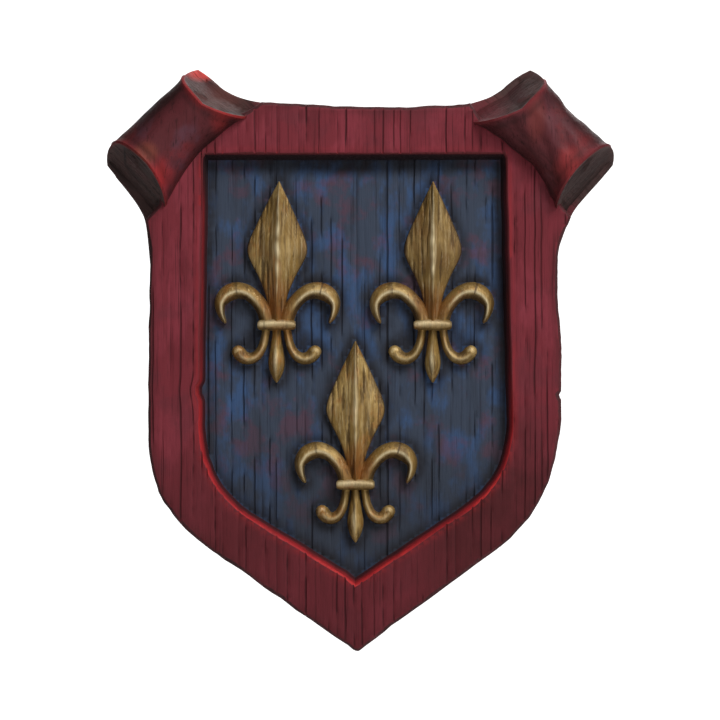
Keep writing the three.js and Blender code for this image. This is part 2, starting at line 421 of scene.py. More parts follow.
def tube(
    name: str,
    section: Sequence[tuple[float, float]],
    rings: int,
    place: Place,
    skin: Skin,
    paint: Callable[[float, float, int], tuple[float, float, float]] | None = None,
    skin_of_ring: Callable[[int], Skin] | None = None,
) -> bpy.types.Object:
    """Make a closed bar of one section, with each point put in place by a rule.

    Args:
        name: The name of the solid.
        section: The points around the section.
        rings: The number of steps along the bar.
        place: Gives the place of a section point on a numbered ring.
        skin: The finish.
        paint: Gives groove, wear and painted highlight, and wash and painted shade of a section point on a
            ring.
        skin_of_ring: Gives the finish of the faces after a ring, where it changes.

    Returns:
        The solid.
    """
    casting = Casting(name)
    mesh = casting.mesh
    count = len(section)
    bmesh.ops.create_cone(
        mesh, cap_ends=True, cap_tris=False, segments=count, radius1=1.0, radius2=1.0, depth=1.0
    )
    lengthwise = [e for e in mesh.edges if abs(e.verts[0].co.z - e.verts[1].co.z) > 0.5]
    bmesh.ops.subdivide_edges(mesh, edges=lengthwise, cuts=rings - 1, use_grid_fill=True)
    for vert in mesh.verts:
        ring = round((vert.co.z + 0.5) * rings)
        a, b = section[round(math.atan2(vert.co.x, vert.co.y) / math.tau * count) % count]
        vert[casting.order] = ring
        vert.co = place(a, b, ring)
        if paint:
            vert[casting.groove], vert[casting.wear_and_highlight], vert[casting.wash_and_shade] = paint(a, b, ring)
    for face in mesh.faces:
        first = min(v[casting.order] for v in face.verts)
        face.material_index = skin_of_ring(first) if skin_of_ring else skin
    return casting.finish()


@dataclass(frozen=True)
class Knot:
    """A knot that the grain bends around."""

    at: Vector
    push: float
    reach: float

    def shift(self, x: float, z: float) -> float:
        """Bend the grain around the knot.

        Args:
            x: The place across.
            z: The height.

        Returns:
            How far sideways the grain moves there.
        """
        side = x - self.at.x
        away = bell(z - self.at.y, self.reach)
        return math.copysign(self.push, side) * away * math.exp(-abs(side) / self.reach)


@dataclass(frozen=True)
class Comb:
    """A flat face with upright grain grooves, such as a wire brush leaves in old wood."""

    face: float
    left: float
    right: float
    foot: float
    top: float
    gap: tuple[float, float]
    half: float
    depth: float
    row: float
    seed: int
    skin: Skin
    wash_and_shade: Callable[[Vector], float]
    wear_and_highlight: Callable[[Vector], float]
    knots: tuple[Knot, ...] = ()
    run: float = 40.0
    thick: float = 5.0
    plain_width: float = 2.6
    floor_share: float = 0.3

    def columns(self) -> list[tuple[float, float, int]]:
        """Lay out the mesh columns.

        Returns:
            For each column its place across, its share of a groove's depth and its groove's number.
        """
        dice = random.Random(self.seed)
        columns: list[tuple[float, float, int]] = []
        at = self.left
        number = 0
        while at < self.right:
            gap = dice.uniform(*self.gap)
            half = self.half * dice.uniform(0.75, 1.25)
            plain = max(1, round((gap - 2 * half) / self.plain_width))
            span = gap - 2 * half
            columns += [(at + span * k / plain, 0.0, number) for k in range(plain + 1)]
            middle = at + span + half
            floor = self.floor_share * half
            columns += [(middle - floor, 1.0, number), (middle + floor, 1.0, number)]
            at += gap
            number += 1
        columns.append((at, 0.0, number))
        return columns

    def strength(self, number: int, z: float) -> float:
        """Return how deep a groove is at a height, from 0 to 1.

        Args:
            number: The groove's number.
            z: The height in millimetres.

        Returns:
            The share of the full depth.
        """
        dice = random.Random(self.seed * 1000 + number)
        phase = dice.uniform(0, 100)
        coarse = noise.noise(Vector((phase, z / self.run, number * 3.7)))
        fine = noise.noise(Vector((phase + 50, z / 9.0, number * 1.9)))
        return smooth(-0.2, 0.2, coarse + 0.3 * fine) * dice.uniform(0.45, 1.0)

    def solid(self) -> bpy.types.Object:
        """Build the slab with its combed face.

        Returns:
            The slab.
        """
        casting = Casting("combed")
        mesh = casting.mesh
        columns = self.columns()
        rows = round((self.top - self.foot) / self.row)
        across = len(columns) - 1
        bmesh.ops.create_grid(mesh, x_segments=across, y_segments=rows, size=1.0)
        heights = [self.foot + (self.top - self.foot) * r / rows for r in range(rows + 1)]
        deep = {
            (number, r): self.strength(number, heights[r])
            for number in {c[2] for c in columns}
            for r in range(rows + 1)
        }
        for vert in mesh.verts:
            c = round((vert.co.x + 1) / 2 * across)
            r = round((vert.co.y + 1) / 2 * rows)
            x, share, number = columns[c]
            z = heights[r]
            groove = share * deep[number, r]
            sway = 0.9 * noise.noise(Vector((x / 60.0, z / 45.0, self.seed)))
            sway += 0.35 * noise.noise(Vector((x / 25.0, z / 14.0, self.seed + 9.0)))
            sway += sum(knot.shift(x, z) for knot in self.knots)
            swell = 0.35 * noise.noise(Vector((x / 22.0, z / 60.0, self.seed + 4.0)))
            vert.co = Vector((x + sway, -self.face + self.depth * groove + swell, z))
            flat = Vector((vert.co.x, vert.co.z))
            vert[casting.groove] = groove
            vert[casting.wash_and_shade] = self.wash_and_shade(flat)
            vert[casting.wear_and_highlight] = self.wear_and_highlight(flat)
        made = bmesh.ops.extrude_face_region(mesh, geom=mesh.faces[:])["geom"]
        for part in made:
            if isinstance(part, bmesh.types.BMVert):
                part.co.y = -self.face + self.thick
        for face in mesh.faces:
            face.material_index = self.skin
        return casting.finish()


@dataclass(frozen=True)
class RollEnd:
    """One end of a rolled corner, cut askew.

    The end lies at its reach along the axis. The slope draws it back with the depth, and inner and outer
    draw it back towards the sides. Flare widens the barrel and drift bends its axis towards the end, both
    with the square of the distance from the waist. The back share narrows the back.
    """

    reach: float
    slope: float
    inner: float
    outer: float
    flare: float
    drift: float
    back_share: float

    def at(self, across: float, depth: float) -> float:
        """Return where the end lies along the axis, at a share of the half-width and a depth."""
        askew = -across * self.inner if across < 0 else -(across ** 2) * self.outer
        return self.reach + askew - self.slope * depth


@dataclass
class Roll:
    """A rolled corner: a waisted scroll that lies over the board's upper corner."""

    name: str
    side: int
    centre: Vector
    waist_at: float
    upper: RollEnd
    lower: RollEnd
    folds: float
    seed: int
    finish: Skin
    end: Skin
    radius: float = 23.0
    axis_depth: float = 21.0
    lean: float = math.radians(43)
    lip: float = 1.3
    cap_rings: int = 13
    body_rings: int = 44
    arc: int = 34
    flank: int = 5

    def on(self, t: float, across: float) -> Vector:
        """Turn a place on the roll into a point of the front view.

        Args:
            t: The place along the roll, from its centre upwards.
            across: The place across it, positive on the outer side.

        Returns:
            The point in millimetres.
        """
        c, s = math.cos(self.lean), math.sin(self.lean)
        return Vector((
            self.centre.x - self.side * (c * t - s * across),
            self.centre.y + s * t + c * across,
        ))

    def section(self) -> list[tuple[float, float]]:
        """List the points around the roll.

        Returns:
            An arc in front, and the sides and the back behind it.
        """
        points = [
            (math.cos(math.pi * i / self.arc), math.sin(math.pi * i / self.arc))
            for i in range(self.arc + 1)
        ]
        points += [(-1.0, -(i + 1) / self.flank) for i in range(self.flank)]
        points += [(-1.0 + 2.0 * (i + 1) / 8, -1.0) for i in range(8)]
        points += [(1.0, -1.0 + (i + 1) / self.flank) for i in range(self.flank - 1)]
        return points

    def ring(self, number: int) -> tuple[float, float]:
        """Tell where a ring is.

        Args:
            number: The ring's number, from the middle of the lower end to that of the upper end.

        Returns:
            Its share of the length, and its size, 1 on the barrel and less on an end face.
        """
        caps, body = self.cap_rings, self.body_rings
        if number < caps:
            return 0.0, max(0.02, number / caps)
        if number <= caps + body:
            share = (number - caps) / body
            return share, 1.0
        return 1.0, max(0.02, 1.0 - (number - caps - body) / caps)

    def place(self, a: float, b: float, number: int) -> Vector:
        """Put a section point of a ring in place.

        Args:
            a: Its share of the half-width.
            b: Its share of the depth in front of the axis, or behind it if negative.
            number: The ring's number.

        Returns:
            The place in millimetres.
        """
        share, size = self.ring(number)
        narrow = self.lower.back_share + (self.upper.back_share - self.lower.back_share) * share
        across = a * (1 - (1 - narrow) * b * b) if b < 0 else a
        across, rise = across * size, b * size
        guess = self.axis_depth + rise * (self.radius if rise > 0 else self.axis_depth)
        top = self.upper.at(across, guess)
        foot = -self.lower.at(across, guess)
        ridge = 0.0
        if size < 1.0:
            ridge = 0.45 * math.cos(self.saw_mark(a, b, size)) * smooth(0.05, 0.3, size)
            ridge -= 1.6 * smooth(0.99, 0.8, size)
        t = foot + (top - foot) * share
        t += ridge if share > 0.5 else -ridge
        away = t - self.waist_at
        end = self.upper if away > 0 else self.lower
        radius = self.radius + end.flare * away * away
        if size == 1.0 and b >= 0:
            near = min(top - t, t - foot)
            radius += self.lip * bell(near, 2.8) - self.lip * bell(near, 0.6)
            radius += self.folds * self.fold(t, a) * smooth(2, 10, near)
        depth = self.axis_depth + rise * (radius if rise > 0 else self.axis_depth)
        flat = self.on(t, across * radius - end.drift * away * away)
        return Vector((flat.x, -max(0.0, depth), flat.y))

    def saw_mark(self, a: float, b: float, size: float) -> float:
        """Return the phase of the rings cut into an end face, at a section point of a ring's size."""
        return size * 40.0 + 2.2 * a + 0.6 * math.sin(5 * b)

    def fold(self, t: float, a: float) -> float:
        """Return the soft folds of the barrel at a place along and across it."""
        slant = noise.noise(Vector((t / 26.0 + a * 0.7, a * 2.6 - t / 30.0, self.seed)))
        return slant + 0.5 * noise.noise(Vector((t / 11.0, a * 4.0, self.seed + 3.0)))

    def paint(self, a: float, b: float, number: int) -> tuple[float, float, float]:
        """Paint a section point.

        Args:
            a: Its share of the half-width.
            b: Its share of the depth.
            number: The number of its ring.

        Returns:
            Groove, wear and painted highlight, and wash and painted shade.
        """
        share, size = self.ring(number)
        # The lips of the upper ends get more rubbed paint and painted highlight than those of the lower
        # ends.
        bright = 1.0 if share > 0.5 else 0.45
        # On the end faces: saw-mark rings, rubbed paint and painted highlight at the rim, and dark wash
        # with painted shade in the dished middle.
        if size < 1.0:
            groove = 0.34 * smooth(0.2, 0.9, -math.cos(self.saw_mark(a, b, size)))
            return groove, 0.4 * bright * smooth(0.95, 1.0, size), smooth(0.97, 0.8, size) * 0.5
        near = min(share, 1 - share) * 60.0
        # On the barrel: dark wash with painted shade along both sides, where it turns away and meets the
        # board, and a painted shadow line just inside each lip.
        wash_and_shade = 0.8 * smooth(0.7, 1.0, -a) + 0.95 * smooth(0.4, 0.9, a)
        wash_and_shade = max(wash_and_shade * smooth(0.5, 6.0, near), 0.5 * bell(near - 6.5, 2.2))
        return 0.0, 0.8 * bright * bell(near, 2.6) * (0.2 if b < 0 else 1.0), wash_and_shade

    def skin(self, number: int) -> Skin:
        """Return the finish of the faces that follow a ring."""
        inside = self.cap_rings <= number < self.cap_rings + self.body_rings
        return self.finish if inside else self.end

    def build(self) -> bpy.types.Object:
        """Build the roll.

        Returns:
            The solid.
        """
        rings = 2 * self.cap_rings + self.body_rings
        return tube(
            self.name, self.section(), rings, self.place, self.finish, self.paint, self.skin
        )


LEFT_ROLL = Roll(
    name="roll_left",
    side=-1,
    centre=on_shield(-0.357, 0.397),
    waist_at=5.0,
    upper=RollEnd(
        reach=40.8, slope=0.39, inner=9.5, outer=4.0, flare=0.0022, drift=0.001, back_share=0.88
    ),
    lower=RollEnd(
        reach=54.4, slope=0.5, inner=1.5, outer=2.0, flare=0.0023, drift=0.0023, back_share=0.76
    ),
    folds=0.7,
    seed=5,
    finish=Skin.ROLL_LEFT,
    end=Skin.END_LEFT,
)
RIGHT_ROLL = Roll(
    name="roll_right",
    side=1,
    centre=on_shield(0.356, 0.395),
    waist_at=-9.0,
    upper=RollEnd(
        reach=38.6, slope=0.44, inner=10.0, outer=6.5, flare=0.003, drift=-0.0004, back_share=0.88
    ),
    lower=RollEnd(
        reach=53.7, slope=0.4, inner=1.0, outer=1.5, flare=0.0042, drift=0.0036, back_share=0.76
    ),
    folds=1.7,
    seed=11,
    finish=Skin.ROLL_RIGHT,
    end=Skin.END_RIGHT,
)


@dataclass(frozen=True)
class Strap:
    """A form of the lily that follows a curve, as shares of the lily's height.

    The crest is a share of the half-width from the middle, below zero towards the inner side. The shaded
    side, painted darker as the side turned from the light, is -1 for the inner and 1 for the outer one, and
    a nick crosses the strap at a share of its length.
    """

    path: tuple[tuple[float, float], ...]
    widths: tuple[tuple[float, float], ...]
    crest: tuple[tuple[float, float], ...]
    edge: float
    ridge: float
    rings: int
    shaded_side: int
    bright: float
    nick: float

    def section(self) -> list[tuple[float, float]]:
        """List the points around the strap.

        Returns:
            The points from its outer edge at 1 over its crest at 0 to its inner edge at -1.
        """
        outer, inner = 8, 4
        points = [(1.0, -1.0), (1.0, -0.3)]
        for i in range(outer + 1):
            share = i / outer
            points.append((1.0 - share, math.sin(share * math.pi / 2) ** 0.8))
        for i in range(1, inner + 1):
            share = i / inner
            points.append((-share, 1.0 - 1.25 * share ** 1.8))
        return points + [(-1.0, -1.0), (-0.33, -1.0), (0.33, -1.0)]

    def across(self, a: float, share: float) -> float:
        """Return a section point's place across the strap, as a share of its half-width."""
        crest = along(self.crest, share)
        return crest + a * (1.0 - crest if a > 0 else 1.0 + crest)


SIDE_PETAL = Strap(
    path=(
        (0.035, -0.005), (0.06, 0.065), (0.1, 0.122), (0.145, 0.158), (0.195, 0.168),
        (0.24, 0.153), (0.268, 0.125), (0.28, 0.095), (0.274, 0.052), (0.252, 0.006),
    ),
    widths=(
        (0.0, 0.045), (0.16, 0.036), (0.31, 0.037), (0.43, 0.041), (0.54, 0.042), (0.64, 0.037),
        (0.73, 0.03), (0.8, 0.0245), (0.89, 0.018), (0.97, 0.01), (1.0, 0.004),
    ),
    crest=((0.0, -0.25), (0.16, -0.25), (0.43, -0.14), (0.6, -0.14), (0.88, -0.3), (1.0, 0.0)),
    edge=2.6,
    ridge=8.0,
    rings=58,
    shaded_side=-1,
    bright=1.0,
    nick=0.47,
)
CURL = Strap(
    path=(
        (0.05, -0.01), (0.057, -0.06), (0.07, -0.11), (0.095, -0.15), (0.13, -0.168),
        (0.165, -0.16), (0.19, -0.134),
    ),
    widths=((0.0, 0.019), (0.4, 0.023), (0.65, 0.029), (0.85, 0.033), (1.0, 0.034)),
    crest=((0.0, -0.15), (1.0, -0.15)),
    edge=2.1,
    ridge=6.2,
    rings=30,
    shaded_side=1,
    bright=0.4,
    nick=-1.0,
)


@dataclass
class Lily:
    """A gilt lily: a ridged middle petal, two side petals that turn over, a collar and a foot.

    The tip is how far the middle petal leans, as a share of the height. Left and right are how far out the
    side petals go, and curl how far out the foot's curls go. Fullness widens the middle petal and the drop.
    """

    name: str
    collar: Vector
    tip: float
    left: float
    right: float
    fullness: float
    curl: float
    seed: int
    height: float = 139.0
    petal_edge: float = 3.2
    petal_ridge: float = 10.5
    collar_rise: float = 10.5
    ball: float = 4.3
    collar_half: tuple[float, float] = (0.094, 0.03)
    petal: tuple[tuple[float, float], ...] = (
        (0.0, 0.045), (0.09, 0.044), (0.15, 0.057), (0.2, 0.076), (0.25, 0.099), (0.3, 0.126),
        (0.34, 0.144), (0.375, 0.148), (0.41, 0.141), (0.45, 0.126), (0.5, 0.103), (0.55, 0.08),
        (0.6, 0.056), (0.65, 0.031), (0.69, 0.01), (0.706, 0.003),
    )
    drop: tuple[tuple[float, float], ...] = (
        (0.0, 0.02), (0.06, 0.023), (0.13, 0.034), (0.19, 0.042), (0.235, 0.033), (0.265, 0.019),
        (0.287, 0.004),
    )

    def grain(self, x: float, z: float) -> float:
        """Return how deep the grain of the gilt wood is at a place of the front view, 0 to 1."""
        coarse = noise.noise(Vector((x / 1.7, z / 24.0, self.seed)))
        return smooth(0.08, 0.4, coarse)

    def leaf(
        self, widths: tuple[tuple[float, float], ...], up: int, rings: int, flank: int, round_off: float
    ) -> bpy.types.Object:
        """Build a pointed leaf with a ridge, above or below the collar.

        Args:
            widths: The half-width at each distance from the collar, as shares of the height.
            up: 1 for the middle petal, -1 for the foot.
            rings: The number of steps along the leaf.
            flank: The number of steps from its ridge to its edge.
            round_off: Its section's power: above 1 hollow beside a sharp ridge, below 1 swollen.

        Returns:
            The solid.
        """
        reach = widths[-1][0]
        section = [(1.0, -1.0), (1.0, 0.45), (0.97, 0.0)]
        section += [(1.0 - i / flank, 0.0) for i in range(1, 2 * flank)]
        section += [(-0.97, 0.0), (-1.0, 0.45), (-1.0, -1.0), (-0.5, -1.0), (0.0, -1.0), (0.5, -1.0)]

        def place(a: float, b: float, ring: int) -> Vector:
            """Put a section point in place.

            Args:
                a: Its share of the half-width.
                b: Below 0 under the field, above 0 on the edge and 0 on the face.
                ring: The number of its ring.

            Returns:
                The place in millimetres.
            """
            at = ring / rings * reach
            half = along(widths, at) * self.fullness
            point = min(1.0, half / 0.05)
            lean = self.tip * max(0, up) * (at / reach) ** 2
            edge = self.petal_edge * (0.45 + 0.55 * point)
            sway = 0.6 * noise.noise(Vector((at * 11.0, self.seed, up))) * (1 - abs(a))
            x = (a * half + lean) * self.height + sway
            if b < 0:
                rise = -4.0
            elif b > 0:
                rise = edge * b
            else:
                rise = edge + (self.petal_ridge - edge) * (1 - abs(a) ** (1 / round_off)) * point
                rise -= 0.55 * self.grain(x, at * self.height) * smooth(0.02, 0.2, abs(a)) * point
            return Vector((self.collar.x + x, -(FIELD_DEPTH + rise), self.collar.y + up * at * self.height))

        def paint(a: float, b: float, ring: int) -> tuple[float, float, float]:
            """Paint a section point.

            Args:
                a: Its share of the half-width.
                b: Below 0 under the field, above 0 on the edge and 0 on the face.
                ring: The number of its ring.

            Returns:
                Groove, wear and painted highlight, and wash and painted shade.
            """
            at = ring / rings * reach
            x = a * along(widths, at) * self.height
            deep = 0.62 * self.grain(x, at * self.height) * smooth(0.02, 0.2, abs(a))
            broken = 0.75 + 0.8 * noise.noise(Vector((ring * 0.17, self.seed, 2.0)))
            # On the middle petal a broken line of rubbed paint and painted highlight runs along the ridge,
            # with faint light flutes; on the drop a broad painted highlight lies left of the middle. Dark
            # wash with painted shade covers the edges, the sides and the part near the collar.
            if up > 0:
                ridge = bell(a, 0.07) * broken * smooth(0.08, 0.4, ring / rings)
                flute = noise.noise(Vector((x / 1.4, at * self.height / 30.0, self.seed + 9.0)))
                ridge = max(ridge, 0.16 * smooth(0.12, 0.45, flute) * smooth(0.0, 0.2, 0.9 - abs(a)))
            else:
                ridge = bell(a + 0.15, 0.2) * bell(ring / rings - 0.6, 0.22)
            low = 0.4 * smooth(0.3, 0.02, ring / rings)
            edge = 0.9 * smooth(0.8, 1.0, abs(a))
            return (deep, ridge, max(low, edge)) if b == 0 else (0.0, 0.0, 1.0)

        return tube(f"{self.name}_leaf", section, rings, place, Skin.GILT, paint)

    def strap(self, form: Strap, side: int, spread: float) -> bpy.types.Object:
        """Build a side petal or a curl of the foot.

        Args:
            form: Its path and sizes.
            side: -1 for the left, 1 for the right.
            spread: How far out it goes.

        Returns:
            The solid.
        """
        path = [Vector((x * spread, z)) for x, z in form.path]

        def place(a: float, b: float, ring: int) -> Vector:
            """Put a section point in place.

            Args:
                a: Its share of the half-width.
                b: Its share of the height.
                ring: The number of its ring.

            Returns:
                The place in millimetres.
            """
            share = ring / form.rings
            at = spline(path, share)
            heading = (spline(path, share + 0.01) - spline(path, share - 0.01)).normalized()
            half = along(form.widths, share)
            point = min(1.0, half / 0.014)
            if b > -1.0:
                rise = (form.edge + b * (form.ridge - form.edge)) * (0.4 + 0.6 * point)
                rise += 0.35 * noise.noise(Vector((share * 9.0, a * 1.4, self.seed + side)))
            else:
                rise = -4.0
            across = form.across(a, share) * half
            return Vector((
                self.collar.x + side * (at.x - heading.y * across) * self.height,
                -(FIELD_DEPTH + rise),
                self.collar.y + (at.y + heading.x * across) * self.height,
            ))

        def paint(a: float, b: float, ring: int) -> tuple[float, float, float]:
            """Paint a section point.

            Args:
                a: Its share of the half-width.
                b: Its share of the height.
                ring: The number of its ring.

            Returns:
                Groove, wear and painted highlight, and wash and painted shade.
            """
            share = ring / form.rings
            # A line of rubbed paint and painted highlight runs along the crest; dark wash with painted
            # shade lies at the foot, the edges and the root.
            apart = abs(form.across(a, share) - along(form.crest, share)) * self.height
            crest = bell(apart * along(form.widths, share), 0.9)
            crest *= smooth(0.1, 0.3, share) * smooth(1.0, 0.85, share) * form.bright
            nick = 0.8 * bell(share - form.nick - 0.015 * side, 0.012) if a > -0.5 else 0.0
            # turned is painted shade on the shaded side, which faces away from the light.
            turned = smooth(0.15, 0.6, a * form.shaded_side) * (1.0 if form.shaded_side < 0 else 0.75)
            low = max(smooth(0.3, -0.3, b), 0.5 * smooth(0.5, 1.0, abs(a)))
            return nick, crest, max(0.2, 0.35 * smooth(0.3, 0.05, share), low, turned)

        return tube(f"{self.name}_strap", form.section(), form.rings, place, Skin.GILT, paint)

    def knob(self, side: int) -> bpy.types.Object:
        """Build the small ball at the end of a curl.

        Args:
            side: -1 for the left, 1 for the right.

        Returns:
            The solid.
        """
        casting = Casting(f"{self.name}_knob")
        x, z = CURL.path[-1]
        bmesh.ops.create_uvsphere(casting.mesh, u_segments=24, v_segments=14, radius=self.ball)
        for vert in casting.mesh.verts:
            front = -vert.co.y / self.ball
            # Rubbed paint and a painted highlight on the front of the ball, and painted shade on its back
            # half.
            vert[casting.wear_and_highlight] = 0.3 * smooth(0.6, 1.0, front)
            vert[casting.wash_and_shade] = smooth(0.3, -0.2, front)
        centre = Vector((
            self.collar.x + side * x * self.curl * self.height,
            -(FIELD_DEPTH + self.ball * 0.4),
            self.collar.y + z * self.height,
        ))
        bmesh.ops.translate(casting.mesh, verts=casting.mesh.verts[:], vec=centre)
        for face in casting.mesh.faces:
            face.material_index = Skin.GILT
        return casting.finish()

    def band(self) -> bpy.types.Object:
        """Build the collar that ties the petals, a bar with rounded ends.

        Returns:
            The solid.
        """
        half, tall = (share * self.height for share in self.collar_half)
        rings = 22
        section = [(1.0, -1.0), (1.0, 0.2), (0.95, 0.5), (0.8, 0.76), (0.52, 0.93), (0.18, 1.0)]
        section += [(-0.18, 1.0), (-0.52, 0.93), (-0.8, 0.76), (-0.95, 0.5), (-1.0, 0.2), (-1.0, -1.0)]
        section += [(-0.33, -1.0), (0.33, -1.0)]

        def place(a: float, b: float, ring: int) -> Vector:
            """Put a section point in place.

            Args:
                a: Its share of the half-width.
                b: Its share of the height.
                ring: The number of its ring.

            Returns:
                The place in millimetres.
            """
            angle = math.pi * (ring / rings - 0.5)
            out = math.sin(angle)
            size = max(0.12, math.cos(angle)) ** 0.32
            rise = b * self.collar_rise * (0.55 + 0.45 * size) if b > -1 else -4.0
            dent = 1 + 0.12 * noise.noise(Vector((out * 3, self.seed, 7.0)))
            return Vector((
                self.collar.x + out * half,
                -(FIELD_DEPTH + rise),
                self.collar.y + a * tall * size * dent - 0.5 * out * out,
            ))

        def paint(a: float, b: float, ring: int) -> tuple[float, float, float]:
            """Paint a section point.

            Args:
                a: Its share of the half-width.
                b: Its share of the height.
                ring: The number of its ring.

            Returns:
                Groove, wear and painted highlight, and wash and painted shade.
            """
            split = noise.noise(Vector((ring * 0.9, self.seed, 5.0)))
            # Rubbed paint and a painted highlight along the upper front, less towards the darker right end;
            # painted shade on the lower side and where the collar meets the field.
            right = 0.45 * smooth(0.1, 0.9, ring / rings)
            worn = smooth(0.6, 1.0, b) * (0.8 - right) * smooth(-0.7, 0.2, a)
            shaded_lower_side = 0.7 * smooth(-0.1, -0.9, a)
            return 0.6 * smooth(0.25, 0.5, split), worn, max(smooth(0.4, 0.0, b), right, shaded_lower_side)

        return tube(f"{self.name}_collar", section, rings, place, Skin.GILT, paint)

    def build(self) -> bpy.types.Object:
        """Build the whole lily as one solid.

        Returns:
            The solid.
        """
        whole = self.leaf(self.petal, up=1, rings=84, flank=20, round_off=1.15)
        parts = [self.leaf(self.drop, up=-1, rings=26, flank=6, round_off=0.6)]
        for side, spread in ((-1, self.left), (1, self.right)):
            parts += [self.strap(SIDE_PETAL, side, spread), self.strap(CURL, side, self.curl)]
            parts.append(self.knob(side))
        parts.append(self.band())
        for part in parts:
            whole = cut(whole, part, Cut.JOIN)
        return whole


LILIES = (
    Lily(
        "lily_left", on_shield(-0.164, 0.061), tip=0.012, left=1.0, right=1.03, fullness=1.0, curl=1.0,
        seed=3,
    ),
    Lily(
        "lily_right", on_shield(0.143, 0.061), tip=0.002, left=1.02, right=0.99, fullness=0.96, curl=0.99,
        seed=17,
    ),
    Lily(
        "lily_low", on_shield(-0.009, -0.213), tip=0.0, left=0.98, right=1.0, fullness=0.98, curl=0.87,
        seed=29,
    ),
)


def board_outline() -> list[Vector]:
    """Walk the board's outline, which runs on under both rolls.

    Returns:
        The closed outline.
    """
    left, right, r = LEFT_ROLL, RIGHT_ROLL, LEFT_ROLL.radius
    line = Outline().line(-0.193, 0.443)
    for t, across in ((1.8, -1.0), (0.9, -0.5), (-1.2, -0.4), (-1.6, -0.9), (-1.95, -1.25)):
        line.to(left.on(t * r, across * r))
    line.line(-0.422, 0.24).wave(-0.417, 0.21, -0.414, 0.165, -0.415, 0.02)
    line.line(-0.416, -0.137).bend(-0.416, -0.213, -0.379, -0.276, -0.282, -0.333)
    line.line(-0.032, -0.485).bend(-0.018, -0.494, -0.012, -0.5, -0.005, -0.5)
    line.bend(0.0, -0.5, 0.006, -0.493, 0.018, -0.485).line(0.256, -0.333)
    line.bend(0.355, -0.275, 0.396, -0.188, 0.396, -0.068)
    line.wave(0.396, 0.03, 0.39, 0.1, 0.391, 0.19, 0.416, 0.245)
    for t, across in ((-1.9, -1.2), (-1.5, -0.8), (-1.2, -0.4), (0.7, -0.5), (1.5, -1.0)):
        line.to(right.on(t * r, across * r))
    line.line(0.217, 0.441).wave(0.14, 0.436, 0.02, 0.434, -0.09, 0.438, -0.193, 0.443)
    return line.closed()


def flap_outline() -> list[Vector]:
    """Walk the outline of the thin flap that runs on behind the ends of both rolls.

    Returns:
        The closed outline.
    """
    left, right, r = LEFT_ROLL, RIGHT_ROLL, LEFT_ROLL.radius
    line = Outline().line(0.217, 0.441).wave(0.2525, 0.451, 0.2762, 0.463, 0.2959, 0.475, 0.3156, 0.4863)
    line.to(right.on(1.2 * r, 0.3 * r)).to(right.on(-1.4 * r, 0.3 * r)).line(0.4952, 0.3382)
    line.wave(0.4755, 0.3141, 0.4498, 0.2866, 0.4242, 0.259, 0.4084, 0.2315, 0.391, 0.19)
    line.line(-0.414, 0.165).wave(-0.4222, 0.2315, -0.434, 0.259, -0.4557, 0.2866, -0.4814, 0.3141)
    line.line(-0.4952, 0.3399).to(left.on(-1.4 * r, 0.3 * r)).to(left.on(1.2 * r, 0.3 * r))
    line.line(-0.3018, 0.4845).wave(-0.2821, 0.4742, -0.2663, 0.4639, -0.2427, 0.4535, -0.217, 0.4467,
                                    -0.193, 0.443)
    return line.line(-0.18, 0.4).line(0.2, 0.4).closed()


def field_outline() -> list[Vector]:
    """Walk the rim of the sunk field, with the notch of a knot in its left side.

    Returns:
        The closed outline.
    """
    line = Outline().line(-0.304, 0.352).line(-0.308, 0.345).line(-0.312, 0.104).line(-0.315, -0.034)
    line.line(-0.321, -0.045).line(-0.321, -0.058).line(-0.315, -0.071).line(-0.314, -0.111)
    line.bend(-0.312, -0.18, -0.288, -0.226, -0.221, -0.268).line(-0.032, -0.369)
    line.line(-0.01, -0.385).line(0.012, -0.371).line(0.191, -0.268)
    line.bend(0.264, -0.226, 0.298, -0.18, 0.298, -0.102).line(0.29, 0.19).line(0.286, 0.345)
    return line.line(0.282, 0.352).closed()


